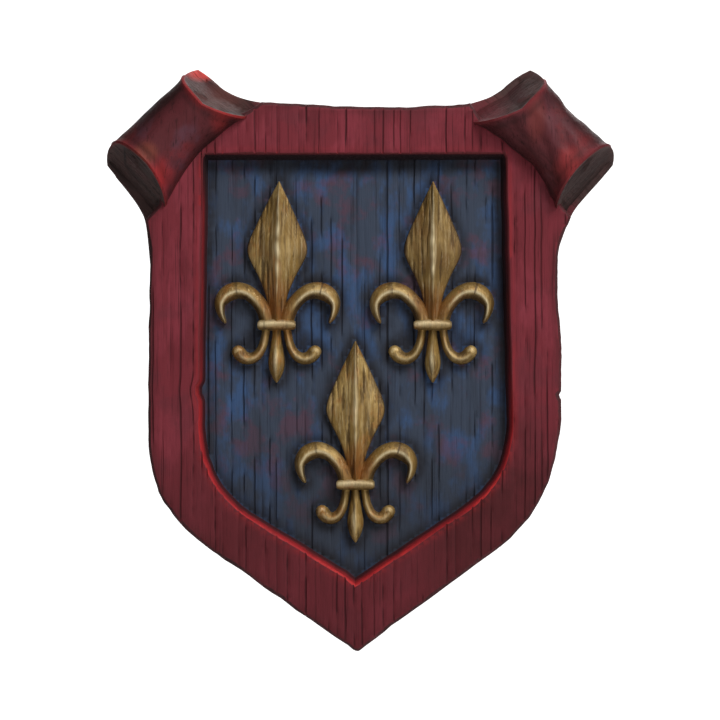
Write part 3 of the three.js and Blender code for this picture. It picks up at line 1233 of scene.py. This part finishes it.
@dataclass
class Plaque:
    """The whole casting, with a nick in the right side of its outline."""

    outline: list[Vector]
    flap: list[Vector]
    rim: list[Vector]
    rolls: tuple[Roll, ...]
    lilies: tuple[Lily, ...]
    nick_height: float = -24.4
    nick_depth: float = 1.7
    nick_width: float = 1.5
    proud: float = 0.3
    weld: float = 0.01
    sharp_angle: float = 38.0

    def frame(self) -> bpy.types.Object:
        """Build the board with its combed frame and the hollow for the field.

        Returns:
            The solid.
        """
        outer = self.outline[::3]
        rim = self.rim[::2]
        # The frame is painted darker along its outer edge, and lighter along the rim of the field with
        # rubbed paint and a painted highlight.
        comb = Comb(
            face=FRAME_DEPTH, left=-WIDTH / 2, right=WIDTH / 2, foot=-HEIGHT / 2 - 4, top=HEIGHT / 2 - 20,
            gap=(3.4, 8.6), half=0.75, depth=0.75, row=3.2, seed=2, skin=Skin.FRAME,
            wash_and_shade=lambda flat: bell(to_outline(flat, outer), 4.5),
            wear_and_highlight=lambda flat: bell(to_outline(flat, rim), 3.0),
            knots=(Knot(on_shield(-0.318, -0.052), 2.6, 7.0),),
            run=85.0,
            thick=FRAME_DEPTH + 2,
        )
        proud = FRAME_DEPTH + self.proud
        worn = worn_outline(self.outline, 0.8, 1.0)
        for point, step in zip(worn, outwards(worn)):
            if point.x > 0:
                point -= step * self.nick_depth * bell(point.y - self.nick_height, self.nick_width)
        shell = layered("shell", worn, (
            (0.0, -1.2, Skin.BACK),
            (1.2, 0.0, Skin.EDGE),
            (proud - EDGE_ROUND, 0.0, Skin.EDGE),
            (proud - EDGE_ROUND * 0.62, -EDGE_ROUND * 0.08, Skin.EDGE),
            (proud - EDGE_ROUND * 0.29, -EDGE_ROUND * 0.29, Skin.EDGE),
            (proud - EDGE_ROUND * 0.08, -EDGE_ROUND * 0.62, Skin.EDGE),
            (proud, -EDGE_ROUND, Skin.EDGE),
        ))
        whole = cut(comb.solid(), shell, Cut.KEEP)
        flap = layered("flap", self.flap, (
            (0.0, -1.0, Skin.BACK),
            (1.0, 0.0, Skin.END_LEFT),
            (FLAP_DEPTH - 1.0, 0.0, Skin.END_LEFT),
            (FLAP_DEPTH, -1.0, Skin.END_LEFT),
        ))
        whole = cut(whole, flap, Cut.JOIN)
        hollow = layered("hollow", worn_outline(self.rim, 0.5, 2.0), (
            (FIELD_DEPTH - 3.0, -WALL_DRAFT - 0.5, Skin.WALL),
            (FIELD_DEPTH, -WALL_DRAFT, Skin.WALL),
            (FIELD_DEPTH + 6.0, -WALL_DRAFT * 0.45, Skin.WALL),
            (FRAME_DEPTH - RIM_ROUND, 0.0, Skin.WALL),
            (FRAME_DEPTH - RIM_ROUND * 0.45, 0.4, Skin.RIM),
            (FRAME_DEPTH - RIM_ROUND * 0.1, 1.1, Skin.RIM),
            (FRAME_DEPTH + 0.4, RIM_ROUND + 0.6, Skin.RIM),
            (FRAME_DEPTH + 30, RIM_ROUND + 0.7, Skin.RIM),
        ))
        return cut(whole, hollow, Cut.REMOVE)

    def sunk_field(self, tree: KDTree) -> bpy.types.Object:
        """Build the combed floor of the field.

        Args:
            tree: The places where the lilies and the walls meet the floor.

        Returns:
            The solid.
        """
        def wash_and_shade(flat: Vector) -> float:
            """Tell how much dark wash and painted shade lie beside a wall or a lily, or between both.

            Args:
                flat: A place on the field in the front view.

            Returns:
                The amount, from 0 to 1.
            """
            place = Vector((flat.x, 0.0, flat.y))
            near = tree.find(place)[2]
            crowd = len(tree.find_range(place, 15.0)) / 150.0
            return max(bell(max(0.0, near - 0.8), 5.0), 0.85 * smooth(0.5, 1.25, crowd))

        comb = Comb(
            face=FIELD_DEPTH, left=-114, right=108, foot=-158, top=140,
            gap=(4.2, 11.0), half=0.8, depth=0.85, row=2.4, seed=8, skin=Skin.FIELD,
            wash_and_shade=wash_and_shade, wear_and_highlight=lambda flat: 0.0,
        )
        mould = layered("mould", self.rim, (
            (FIELD_DEPTH - 4.5, -WALL_DRAFT + 2.0, Skin.FIELD),
            (FIELD_DEPTH + 4.0, -WALL_DRAFT + 2.0, Skin.FIELD),
        ))
        return cut(comb.solid(), mould, Cut.KEEP)

    def build(self) -> bpy.types.Object:
        """Build and join every form of the casting.

        Returns:
            The finished piece, in metres.
        """
        lilies = [lily.build() for lily in self.lilies]
        feet = [
            vert.co for lily in lilies for vert in lily.data.vertices if vert.co.y > -FIELD_DEPTH - 0.5
        ]
        walls = [p - step * WALL_DRAFT for p, step in zip(self.rim, outwards(self.rim))]
        tree = KDTree(len(feet) + len(walls))
        for i, co in enumerate(feet):
            tree.insert(Vector((co.x, 0.0, co.z)), i)
        for i, spot in enumerate(walls):
            tree.insert(Vector((spot.x, 0.0, spot.y)), len(feet) + i)
        tree.balance()
        LOG.info("lilies: %d vertices at their feet", len(feet))
        whole = self.frame()
        LOG.info("frame: %d faces", len(whole.data.polygons))
        floor = self.sunk_field(tree)
        LOG.info("field: %d faces", len(floor.data.polygons))
        for part in [floor, *lilies, *(roll.build() for roll in self.rolls)]:
            whole = cut(whole, part, Cut.JOIN)
        return self.dress(whole)

    def dress(self, piece: bpy.types.Object) -> bpy.types.Object:
        """Scale the casting to metres, smooth its faces and name it.

        Args:
            piece: The joined casting in millimetres.

        Returns:
            The finished piece.
        """
        mesh = bmesh.new()
        mesh.from_mesh(piece.data)
        bmesh.ops.remove_doubles(mesh, verts=mesh.verts[:], dist=self.weld)
        bmesh.ops.dissolve_degenerate(mesh, edges=mesh.edges[:], dist=self.weld)
        bmesh.ops.scale(mesh, verts=mesh.verts[:], vec=(MM, MM, MM))
        bmesh.ops.triangulate(mesh, faces=mesh.faces[:])
        for face in mesh.faces:
            face.smooth = True
        mesh.to_mesh(piece.data)
        mesh.free()
        piece.data.set_sharp_from_angle(angle=math.radians(self.sharp_angle))
        piece.name = "painted_shield"
        piece.data.name = "painted_shield"
        LOG.info("shield: %d triangles", len(piece.data.polygons))
        return piece


@dataclass(frozen=True)
class Spot:
    """A soft round patch of another colour."""

    at: tuple[float, float]
    size: tuple[float, float]
    colour: Colour
    amount: float


class Graph:
    """A material's node tree, with short ways to add the nodes that the paints use."""

    def __init__(self, material: bpy.types.Material) -> None:
        """Start an empty tree with an output and a shader.

        Args:
            material: The material that the tree belongs to.
        """
        self.tree = material.node_tree
        self.tree.nodes.clear()
        self.out = self.tree.nodes.new("ShaderNodeOutputMaterial")
        self.shader = self.tree.nodes.new("ShaderNodeBsdfPrincipled")
        self.link(self.shader.outputs["BSDF"], self.out.inputs["Surface"])
        self.place = self.tree.nodes.new("ShaderNodeTexCoord").outputs["Object"]

    def link(self, source: bpy.types.NodeSocket, target: bpy.types.NodeSocket) -> None:
        """Join two sockets."""
        self.tree.links.new(source, target)

    def feed(self, target: bpy.types.NodeSocket, value: object) -> None:
        """Give a socket a link, a number or a colour.

        Args:
            target: The input socket.
            value: A socket, a number or a colour.
        """
        if isinstance(value, bpy.types.NodeSocket):
            self.link(value, target)
        elif isinstance(value, tuple) and target.type == "RGBA":
            target.default_value = (*value, 1.0)
        else:
            target.default_value = value

    def noise(
        self, scale: tuple[float, float, float], detail: float, shift: float, lean: float = 0.0
    ) -> bpy.types.NodeSocket:
        """Add a noise pattern.

        Args:
            scale: How many features to a metre along each axis.
            detail: The noise's detail.
            shift: Moves the pattern, so that two of one scale differ.
            lean: How far the pattern's upright leans to the right, in degrees.

        Returns:
            The noise value's socket.
        """
        place = self.place
        if lean:
            turned = self.tree.nodes.new("ShaderNodeMapping")
            turned.inputs["Rotation"].default_value = (0.0, -math.radians(lean), 0.0)
            self.link(place, turned.inputs["Vector"])
            place = turned.outputs["Vector"]
        mapping = self.tree.nodes.new("ShaderNodeMapping")
        mapping.inputs["Scale"].default_value = scale
        mapping.inputs["Location"].default_value = (shift, shift * 1.7, shift * 0.6)
        self.link(place, mapping.inputs["Vector"])
        node = self.tree.nodes.new("ShaderNodeTexNoise")
        node.inputs["Scale"].default_value = 1.0
        node.inputs["Detail"].default_value = detail
        node.inputs["Roughness"].default_value = 0.6
        self.link(mapping.outputs["Vector"], node.inputs["Vector"])
        return node.outputs["Fac"]

    def steps(
        self, value: bpy.types.NodeSocket, low: float, high: float, start: float = 0.0, end: float = 1.0
    ) -> bpy.types.NodeSocket:
        """Map a range of a value smoothly to another range.

        Args:
            value: The value.
            low: Where the range starts.
            high: Where it ends.
            start: What the start becomes.
            end: What the end becomes.

        Returns:
            The mapped value's socket.
        """
        node = self.tree.nodes.new("ShaderNodeMapRange")
        node.interpolation_type = "SMOOTHSTEP"
        for name, number in (("From Min", low), ("From Max", high), ("To Min", start), ("To Max", end)):
            node.inputs[name].default_value = number
        self.link(value, node.inputs["Value"])
        return node.outputs["Result"]

    def sum(self, how: str, a: object, b: object) -> bpy.types.NodeSocket:
        """Combine two values with a math node.

        Args:
            how: The operation's name.
            a: A socket or a number.
            b: A socket or a number.

        Returns:
            The result's socket.
        """
        node = self.tree.nodes.new("ShaderNodeMath")
        node.operation = how
        node.use_clamp = how in {"ADD", "SUBTRACT"}
        self.feed(node.inputs[0], a)
        self.feed(node.inputs[1], b)
        return node.outputs[0]

    def mix(self, share: object, a: object, b: object) -> bpy.types.NodeSocket:
        """Mix two colours.

        Args:
            share: How much of the second one, a socket or a number.
            a: The first colour.
            b: The second colour.

        Returns:
            The mixed colour's socket.
        """
        node = self.tree.nodes.new("ShaderNodeMix")
        node.data_type = "RGBA"
        self.feed(node.inputs[0], share)
        self.feed(node.inputs[6], a)
        self.feed(node.inputs[7], b)
        return node.outputs[2]

    def attribute(self, name: str) -> bpy.types.NodeSocket:
        """Read one of the painted attributes.

        Args:
            name: Its name.

        Returns:
            The value's socket.
        """
        node = self.tree.nodes.new("ShaderNodeAttribute")
        node.attribute_name = name
        return node.outputs["Fac"]

    def axis(self, name: str) -> bpy.types.NodeSocket:
        """Read one coordinate of the place on the object, in metres.

        Args:
            name: X, Y or Z.

        Returns:
            The coordinate's socket.
        """
        node = self.tree.nodes.new("ShaderNodeSeparateXYZ")
        self.link(self.place, node.inputs[0])
        return node.outputs[name]

    def spot(self, spot: Spot) -> bpy.types.NodeSocket:
        """Work out how strongly a soft patch shows at each place.

        Args:
            spot: The patch.

        Returns:
            The strength's socket.
        """
        mapping = self.tree.nodes.new("ShaderNodeMapping")
        wide, tall = spot.size[0] * MM, spot.size[1] * MM
        mapping.inputs["Scale"].default_value = (1 / wide, 0.0, 1 / tall)
        mapping.inputs["Location"].default_value = (-spot.at[0] * MM / wide, 0.0, -spot.at[1] * MM / tall)
        self.link(self.place, mapping.inputs["Vector"])
        length = self.tree.nodes.new("ShaderNodeVectorMath")
        length.operation = "LENGTH"
        self.link(mapping.outputs["Vector"], length.inputs[0])
        return self.steps(length.outputs["Value"], 1.0, 0.25, 0.0, spot.amount)


@dataclass(frozen=True)
class Fade:
    """A slow change to the dark colour along one axis, from one place to another in millimetres."""

    axis: str
    start: float
    end: float
    amount: float


@dataclass(frozen=True)
class Paint:
    """Hand-laid paint over moulded wood grain, with a dark wash that also lays painted shade, and rubbed
    edges that also carry painted highlights.
    """

    name: str
    base: Colour
    light: Colour
    dark: Colour
    patch: Colour
    groove: Colour
    # worn is the colour of rubbed paint and also of the painted highlights and glints.
    worn: Colour
    wash_and_shade: Colour
    light_amount: float = 1.0
    patch_amount: float = 0.5
    dark_amount: float = 0.7
    patch_scale: float = 34.0
    grain: tuple[float, float, float] = (520.0, 520.0, 16.0)
    lean: float = 0.0
    turn_grain: bool = False
    streaks: float = 0.5
    groove_amount: float = 0.85
    wash_and_shade_amount: float = 0.7
    worn_and_highlight_amount: float = 0.8
    glints: float = 0.0
    roughness: float = 0.62
    metallic: float = 0.0
    specular: float = 0.2
    bump: float = 0.3
    seed: float = 0.0
    fades: tuple[Fade, ...] = ()
    spots: tuple[Spot, ...] = ()

    def colour(self, graph: Graph, grain: bpy.types.NodeSocket, fine: bpy.types.NodeSocket) -> object:
        """Lay the paint's colours over each other.

        Args:
            graph: The material's node tree.
            grain: The coarse grain.
            fine: The fine grain.

        Returns:
            The final colour's socket.
        """
        scale = self.patch_scale
        blots = graph.noise((scale,) * 3, 5.0, self.seed + 11.0)
        clouds = graph.noise((scale * 1.3, scale * 1.3, scale * 0.7), 4.0, self.seed + 31.0)
        tall = graph.noise((scale * 2.6, scale * 2.6, scale * 0.45), 4.0, self.seed + 21.0, self.lean)
        lit = graph.steps(clouds, 0.46, 0.66, 0.0, self.light_amount)
        colour = graph.mix(lit, self.base, self.light)
        colour = graph.mix(graph.steps(blots, 0.5, 0.66, 0.0, self.patch_amount), colour, self.patch)
        colour = graph.mix(graph.steps(tall, 0.5, 0.32, 0.0, self.dark_amount), colour, self.dark)
        for spot in self.spots:
            strength = graph.sum("MULTIPLY", graph.spot(spot), graph.steps(blots, 0.3, 0.62, 0.6, 1.0))
            colour = graph.mix(strength, colour, spot.colour)
        for fade in self.fades:
            share = graph.steps(graph.axis(fade.axis), fade.start * MM, fade.end * MM, 0.0, fade.amount)
            colour = graph.mix(share, colour, self.dark)
        streak = graph.steps(grain, 0.46, 0.3, 0.0, self.streaks)
        scratch = graph.steps(fine, 0.42, 0.26, 0.0, self.streaks * 0.8)
        colour = graph.mix(graph.sum("MAXIMUM", streak, scratch), colour, self.groove)
        if self.glints:
            glint = graph.steps(grain, 0.56, 0.7, 0.0, self.glints)
            colour = graph.mix(glint, colour, self.worn)
        # Rubbed paint with painted highlights, then dark wash with painted shade, as the painted attributes
        # say.
        wear_and_highlight = graph.sum("MULTIPLY", graph.attribute("wear_and_highlight"), graph.steps(fine, 0.3, 0.55, 0.5, 1.0))
        colour = graph.mix(graph.sum("MULTIPLY", wear_and_highlight, self.worn_and_highlight_amount), colour, self.worn)
        wash_and_shade = graph.sum("MULTIPLY", graph.attribute("wash_and_shade"), graph.steps(blots, 0.25, 0.6, 1.0, 0.7))
        colour = graph.mix(graph.sum("MULTIPLY", wash_and_shade, self.wash_and_shade_amount), colour, self.wash_and_shade)
        cut_in = graph.steps(graph.attribute("groove"), 0.08, 0.85, 0.0, self.groove_amount)
        return graph.mix(cut_in, colour, self.groove)

    def make(self) -> bpy.types.Material:
        """Build the material.

        Returns:
            The material.
        """
        material = bpy.data.materials.new(self.name)
        material.use_nodes = True
        material.diffuse_color = (*self.base, 1.0)
        graph = Graph(material)
        lean = self.lean if self.turn_grain else 0.0
        grain = graph.noise(self.grain, 4.0, self.seed, lean)
        fine = graph.noise(tuple(3.1 * g for g in self.grain), 2.0, self.seed + 5.3, lean)
        graph.link(self.colour(graph, grain, fine), graph.shader.inputs["Base Color"])
        rough = graph.steps(grain, 0.3, 0.7, self.roughness + 0.12, self.roughness - 0.08)
        graph.link(rough, graph.shader.inputs["Roughness"])
        graph.shader.inputs["Metallic"].default_value = self.metallic
        graph.shader.inputs["Specular IOR Level"].default_value = self.specular
        relief = graph.sum("ADD", graph.sum("MULTIPLY", grain, 0.6), graph.sum("MULTIPLY", fine, 0.4))
        bump = graph.tree.nodes.new("ShaderNodeBump")
        bump.inputs["Strength"].default_value = self.bump
        bump.inputs["Distance"].default_value = 0.0012
        graph.link(relief, bump.inputs["Height"])
        graph.link(bump.outputs["Normal"], graph.shader.inputs["Normal"])
        return material


BROWN_BLACK = srgb(34, 20, 20)
ROOT = srgb(150, 88, 36)
CRIMSON = srgb(108, 42, 49)
# The dark brown below is gilt in shade, painted on the field beside each collar.
SHADED_GILT_WEB = srgb(60, 42, 26)
ROLL = Paint(
    name="roll_paint", base=srgb(84, 36, 40), light=srgb(86, 52, 62), dark=srgb(52, 26, 27),
    patch=srgb(116, 38, 40), groove=srgb(34, 18, 18), worn=srgb(160, 44, 42), wash_and_shade=srgb(34, 17, 17),
    light_amount=0.85, patch_amount=0.6, dark_amount=0.75, patch_scale=30.0, grain=(560.0, 560.0, 20.0),
    streaks=0.55, wash_and_shade_amount=0.95, roughness=0.55, specular=0.12, lean=43.0, seed=7.0,
    spots=(
        Spot((-146.0, 141.0), (11.0, 11.0), srgb(140, 72, 48), 0.6),
        Spot((-137.0, 126.0), (12.0, 17.0), srgb(158, 38, 38), 0.7),
        Spot((-108.0, 197.0), (11.0, 8.0), srgb(205, 62, 58), 0.95),
        Spot((-96.0, 164.0), (9.0, 14.0), srgb(140, 40, 40), 0.6),
    ),
)
END = Paint(
    name="end_paint", base=srgb(72, 50, 48), light=srgb(86, 58, 55), dark=srgb(52, 38, 36),
    patch=srgb(78, 42, 44), groove=srgb(30, 20, 19), worn=srgb(150, 40, 42), wash_and_shade=srgb(40, 26, 25),
    patch_amount=0.6, grain=(420.0, 420.0, 22.0), streaks=0.8, turn_grain=True, lean=-47.0, bump=0.6,
    seed=8.0,
    spots=(
        Spot((-110.0, 197.5), (12.0, 8.0), srgb(210, 66, 60), 0.95),
        Spot((-92.0, 180.0), (26.0, 14.0), srgb(104, 56, 50), 0.6),
        Spot((-68.0, 174.0), (13.0, 10.0), CRIMSON, 0.8),
        Spot((-161.0, 139.5), (1.2, 8.5), srgb(20, 14, 14), 0.95),
        Spot((84.0, 170.0), (24.0, 18.0), CRIMSON, 1.0),
        Spot((144.0, 100.0), (12.0, 16.0), CRIMSON, 0.8),
    ),
)
PAINTS: dict[Skin, Paint] = {
    Skin.FRAME: Paint(
        name="crimson_paint", base=srgb(112, 42, 50), light=srgb(126, 50, 60), dark=srgb(80, 30, 34),
        patch=srgb(94, 42, 49), groove=srgb(50, 23, 25), worn=srgb(158, 42, 44), wash_and_shade=srgb(50, 26, 27),
        light_amount=0.8, dark_amount=0.35, wash_and_shade_amount=0.6, worn_and_highlight_amount=0.6, specular=0.1,
        grain=(640.0, 640.0, 14.0), streaks=0.55, groove_amount=0.7, seed=1.0,
        fades=(Fade("Z", -60.0, -130.0, 0.55),),
        spots=(
            Spot((84.0, -100.0), (80.0, 90.0), srgb(70, 30, 32), 0.95),
            Spot((-92.0, -100.0), (70.0, 80.0), srgb(84, 34, 38), 0.6),
        ),
    ),
    Skin.EDGE: Paint(
        name="edge_paint", base=srgb(74, 34, 37), light=srgb(92, 42, 46), dark=srgb(44, 25, 26),
        patch=srgb(62, 34, 37), groove=BROWN_BLACK, worn=srgb(140, 56, 52), wash_and_shade=srgb(40, 24, 24),
        streaks=0.6, seed=2.0,
    ),
    Skin.RIM: Paint(
        name="rim_paint", base=srgb(156, 34, 38), light=srgb(180, 44, 44), dark=srgb(88, 33, 37),
        patch=srgb(124, 32, 36), groove=BROWN_BLACK, worn=srgb(196, 60, 52), wash_and_shade=srgb(70, 26, 28),
        patch_amount=0.5, dark_amount=0.4, streaks=0.3, seed=3.0,
        # Painted shade: the rim darkens towards the top and down the right side, and stays bright only on
        # the left and the lower parts.
        fades=(Fade("Z", -60.0, 20.0, 0.9), Fade("Z", 128.0, 136.0, 0.7)),
        spots=(Spot((103.0, 50.0), (24.0, 104.0), srgb(96, 34, 38), 1.0),),
    ),
    Skin.WALL: Paint(
        name="wall_paint", base=srgb(146, 32, 36), light=srgb(150, 38, 40), dark=srgb(30, 20, 23),
        patch=srgb(96, 26, 30), groove=BROWN_BLACK, worn=srgb(150, 40, 40), wash_and_shade=srgb(30, 18, 18),
        patch_amount=0.5, dark_amount=0.3, streaks=0.3, seed=4.0,
        # Painted shade: the wall darkens with depth below the rim, towards the top, and down the right
        # side.
        fades=(Fade("Y", -24.0, -17.0, 0.88), Fade("Z", -60.0, 30.0, 0.4), Fade("Z", 100.0, 132.0, 0.9)),
        spots=(Spot((103.0, 50.0), (24.0, 104.0), srgb(58, 24, 28), 0.9),),
    ),
    Skin.FIELD: Paint(
        name="blue_paint", base=srgb(57, 65, 80), light=srgb(56, 80, 116), dark=srgb(46, 50, 58),
        patch=srgb(100, 54, 64), groove=srgb(24, 21, 23), worn=srgb(100, 110, 130), wash_and_shade=srgb(30, 27, 28),
        light_amount=0.9, patch_amount=0.42, dark_amount=0.4, patch_scale=44.0, streaks=0.4,
        groove_amount=0.62, wash_and_shade_amount=0.95, specular=0.1, seed=5.0,
        fades=(Fade("Z", -30.0, -110.0, 0.6),),
        spots=(
            # Painted shadows on the field: a dark band along the right wall and another under the top of
            # the frame.
            Spot((104.0, 60.0), (15.0, 130.0), srgb(28, 25, 29), 0.9),
            Spot((-5.0, 135.0), (150.0, 12.0), srgb(20, 17, 18), 0.9),
            # Painted shade: dark brown patches under and above each collar stand for gilt webs there that
            # lie in shade.
            *(Spot((lily.collar.x, lily.collar.y - 11.0), (11.0, 13.0), SHADED_GILT_WEB, 1.0) for lily in LILIES),
            *(Spot((lily.collar.x, lily.collar.y + 9.0), (16.0, 13.0), SHADED_GILT_WEB, 0.9) for lily in LILIES),
        ),
    ),
    Skin.GILT: Paint(
        name="gilt_paint", base=srgb(146, 115, 59), light=srgb(178, 148, 90), dark=srgb(96, 73, 38),
        patch=srgb(160, 102, 42), groove=srgb(58, 38, 18), worn=srgb(240, 222, 178), wash_and_shade=srgb(56, 36, 17),
        patch_amount=0.6, dark_amount=0.8, patch_scale=62.0, grain=(760.0, 760.0, 19.0), streaks=0.6,
        wash_and_shade_amount=0.9, worn_and_highlight_amount=0.85, roughness=0.44, metallic=0.4, specular=0.4, bump=0.5, seed=6.0,
        glints=0.22,
        spots=(
            *(Spot((lily.collar.x, lily.collar.y + 15.0), (17.0, 18.0), ROOT, 0.8) for lily in LILIES),
            *(
                Spot((lily.collar.x, lily.collar.y + 54.0), (36.0, 62.0), srgb(100, 76, 39), amount)
                for lily, amount in zip(LILIES[:2], (0.35, 0.75))
            ),
        ),
    ),
    Skin.ROLL_LEFT: ROLL,
    Skin.ROLL_RIGHT: replace(
        ROLL, name="roll_paint_right", lean=-43.0, seed=17.0, base=srgb(84, 38, 42), light=srgb(94, 50, 56),
        worn=srgb(122, 44, 48),
        spots=(
            Spot((142.0, 133.0), (12.0, 17.0), srgb(150, 54, 54), 0.6),
            Spot((93.0, 176.0), (10.0, 8.0), srgb(156, 40, 42), 0.7),
            Spot((120.0, 165.0), (9.0, 22.0), srgb(118, 52, 46), 0.55),
        ),
    ),
    Skin.END_LEFT: END,
    Skin.END_RIGHT: replace(
        END, name="end_paint_right", lean=47.0, seed=18.0, worn=srgb(118, 42, 46),
        spots=(
            Spot((84.0, 170.0), (24.0, 18.0), CRIMSON, 1.0),
            Spot((104.0, 182.0), (16.0, 12.0), srgb(84, 46, 50), 0.7),
        ),
    ),
    Skin.BACK: Paint(
        name="back_paint", base=srgb(56, 42, 36), light=srgb(72, 55, 47), dark=srgb(40, 30, 26),
        patch=srgb(66, 50, 42), groove=srgb(26, 20, 18), worn=srgb(80, 62, 52), wash_and_shade=srgb(34, 26, 22),
        patch_scale=18.0, grain=(90.0, 90.0, 90.0), streaks=0.25, roughness=0.75, seed=9.0,
    ),
}


@dataclass(frozen=True)
class Lamp:
    """A square soft lamp that points at the plaque, in metres and watts."""

    name: str
    at: tuple[float, float, float]
    size: float
    power: float

    def hang(self) -> None:
        """Add the lamp to the scene."""
        data = bpy.data.lights.new(self.name, "AREA")
        data.size = self.size
        data.energy = self.power
        made = bpy.data.objects.new(self.name, data)
        made.location = self.at
        made.rotation_euler = (-Vector(self.at)).to_track_quat("-Z", "Y").to_euler()
        bpy.context.scene.collection.objects.link(made)


@dataclass(frozen=True)
class Studio:
    """A pale floor, a white backdrop far behind, soft lamps and the camera.

    The camera shows the view width at a share of the frame's depth.
    """

    view_width: float = 0.4937
    view_depth_share: float = 0.8
    camera_distance: float = 4.0
    sensor_width: float = 36.0
    floor_height: float = -1.1
    world_light: float = 0.15
    sheet_colour: Colour = (0.86, 0.86, 0.85)
    lamps: tuple[Lamp, ...] = (
        Lamp("key_lamp", (0.8, -1.15, 1.5), size=0.7, power=33.0),
        Lamp("side_lamp", (1.7, -2.0, 0.5), size=0.8, power=13.0),
        Lamp("front_lamp", (-0.3, -3.2, 0.7), size=1.2, power=13.0),
        Lamp("back_lamp", (0.6, 2.2, 1.4), size=1.4, power=16.0),
    )

    def plain(self, name: str, colour: Colour, glow: float) -> bpy.types.Material:
        """Return a plain stage material.

        Args:
            name: Its name.
            colour: Its colour.
            glow: How much light it gives off.

        Returns:
            The material.
        """
        material = bpy.data.materials.new(name)
        material.use_nodes = True
        shader = material.node_tree.nodes["Principled BSDF"]
        shader.inputs["Base Color"].default_value = (*colour, 1.0)
        shader.inputs["Roughness"].default_value = 0.9
        shader.inputs["Emission Color"].default_value = (1.0, 1.0, 1.0, 1.0)
        shader.inputs["Emission Strength"].default_value = glow
        return material

    def sheet(self, name: str, size: float, at: Vector, upright: bool, glow: float) -> None:
        """Lay a floor or hang a backdrop.

        Args:
            name: Its name.
            size: Half its side, in metres.
            at: Its middle.
            upright: Whether it stands.
            glow: How much light it gives off.
        """
        mesh = bmesh.new()
        bmesh.ops.create_grid(mesh, x_segments=4, y_segments=4, size=size)
        for vert in mesh.verts:
            x, y, _ = vert.co
            vert.co = at + (Vector((x, 0.0, y)) if upright else Vector((x, y, 0.0)))
        data = bpy.data.meshes.new(name)
        mesh.to_mesh(data)
        mesh.free()
        data.materials.append(self.plain(name, self.sheet_colour, glow))
        made = bpy.data.objects.new(name, data)
        bpy.context.scene.collection.objects.link(made)

    def build(self) -> None:
        """Set up the stage, the lamps, the world and the camera."""
        self.sheet("floor", 3.0, Vector((0.0, 0.0, self.floor_height)), False, 0.0)
        self.sheet("backdrop", 3.2, Vector((0.0, 4.6, 1.2)), True, 1.0)
        for lamp in self.lamps:
            lamp.hang()
        scene = bpy.context.scene
        world = bpy.data.worlds.new("studio")
        world.use_nodes = True
        background = world.node_tree.nodes["Background"]
        background.inputs["Color"].default_value = (1.0, 1.0, 1.0, 1.0)
        background.inputs["Strength"].default_value = self.world_light
        scene.world = world
        scene.view_settings.view_transform = "Standard"
        camera = bpy.data.cameras.new("camera")
        camera.sensor_width = self.sensor_width
        face = self.camera_distance - self.view_depth_share * FRAME_DEPTH * MM
        camera.lens = camera.sensor_width * face / self.view_width
        made = bpy.data.objects.new("camera", camera)
        made.location = (0.0, -self.camera_distance, 0.0)
        made.rotation_euler = (math.pi / 2, 0.0, 0.0)
        scene.collection.objects.link(made)
        scene.camera = made


def main() -> None:
    """Build the plaque and the studio, and report each piece."""
    logging.basicConfig(level=logging.INFO, format="%(name)s: %(message)s")
    for skin in Skin:
        SKINS[skin] = PAINTS[skin].make()
    rolls = (LEFT_ROLL, RIGHT_ROLL)
    plaque = Plaque(board_outline(), flap_outline(), field_outline(), rolls, LILIES)
    piece = plaque.build()
    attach(piece, "root")
    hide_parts("shield_plaque")
    Studio().build()


if __name__ == "__main__":
    main()
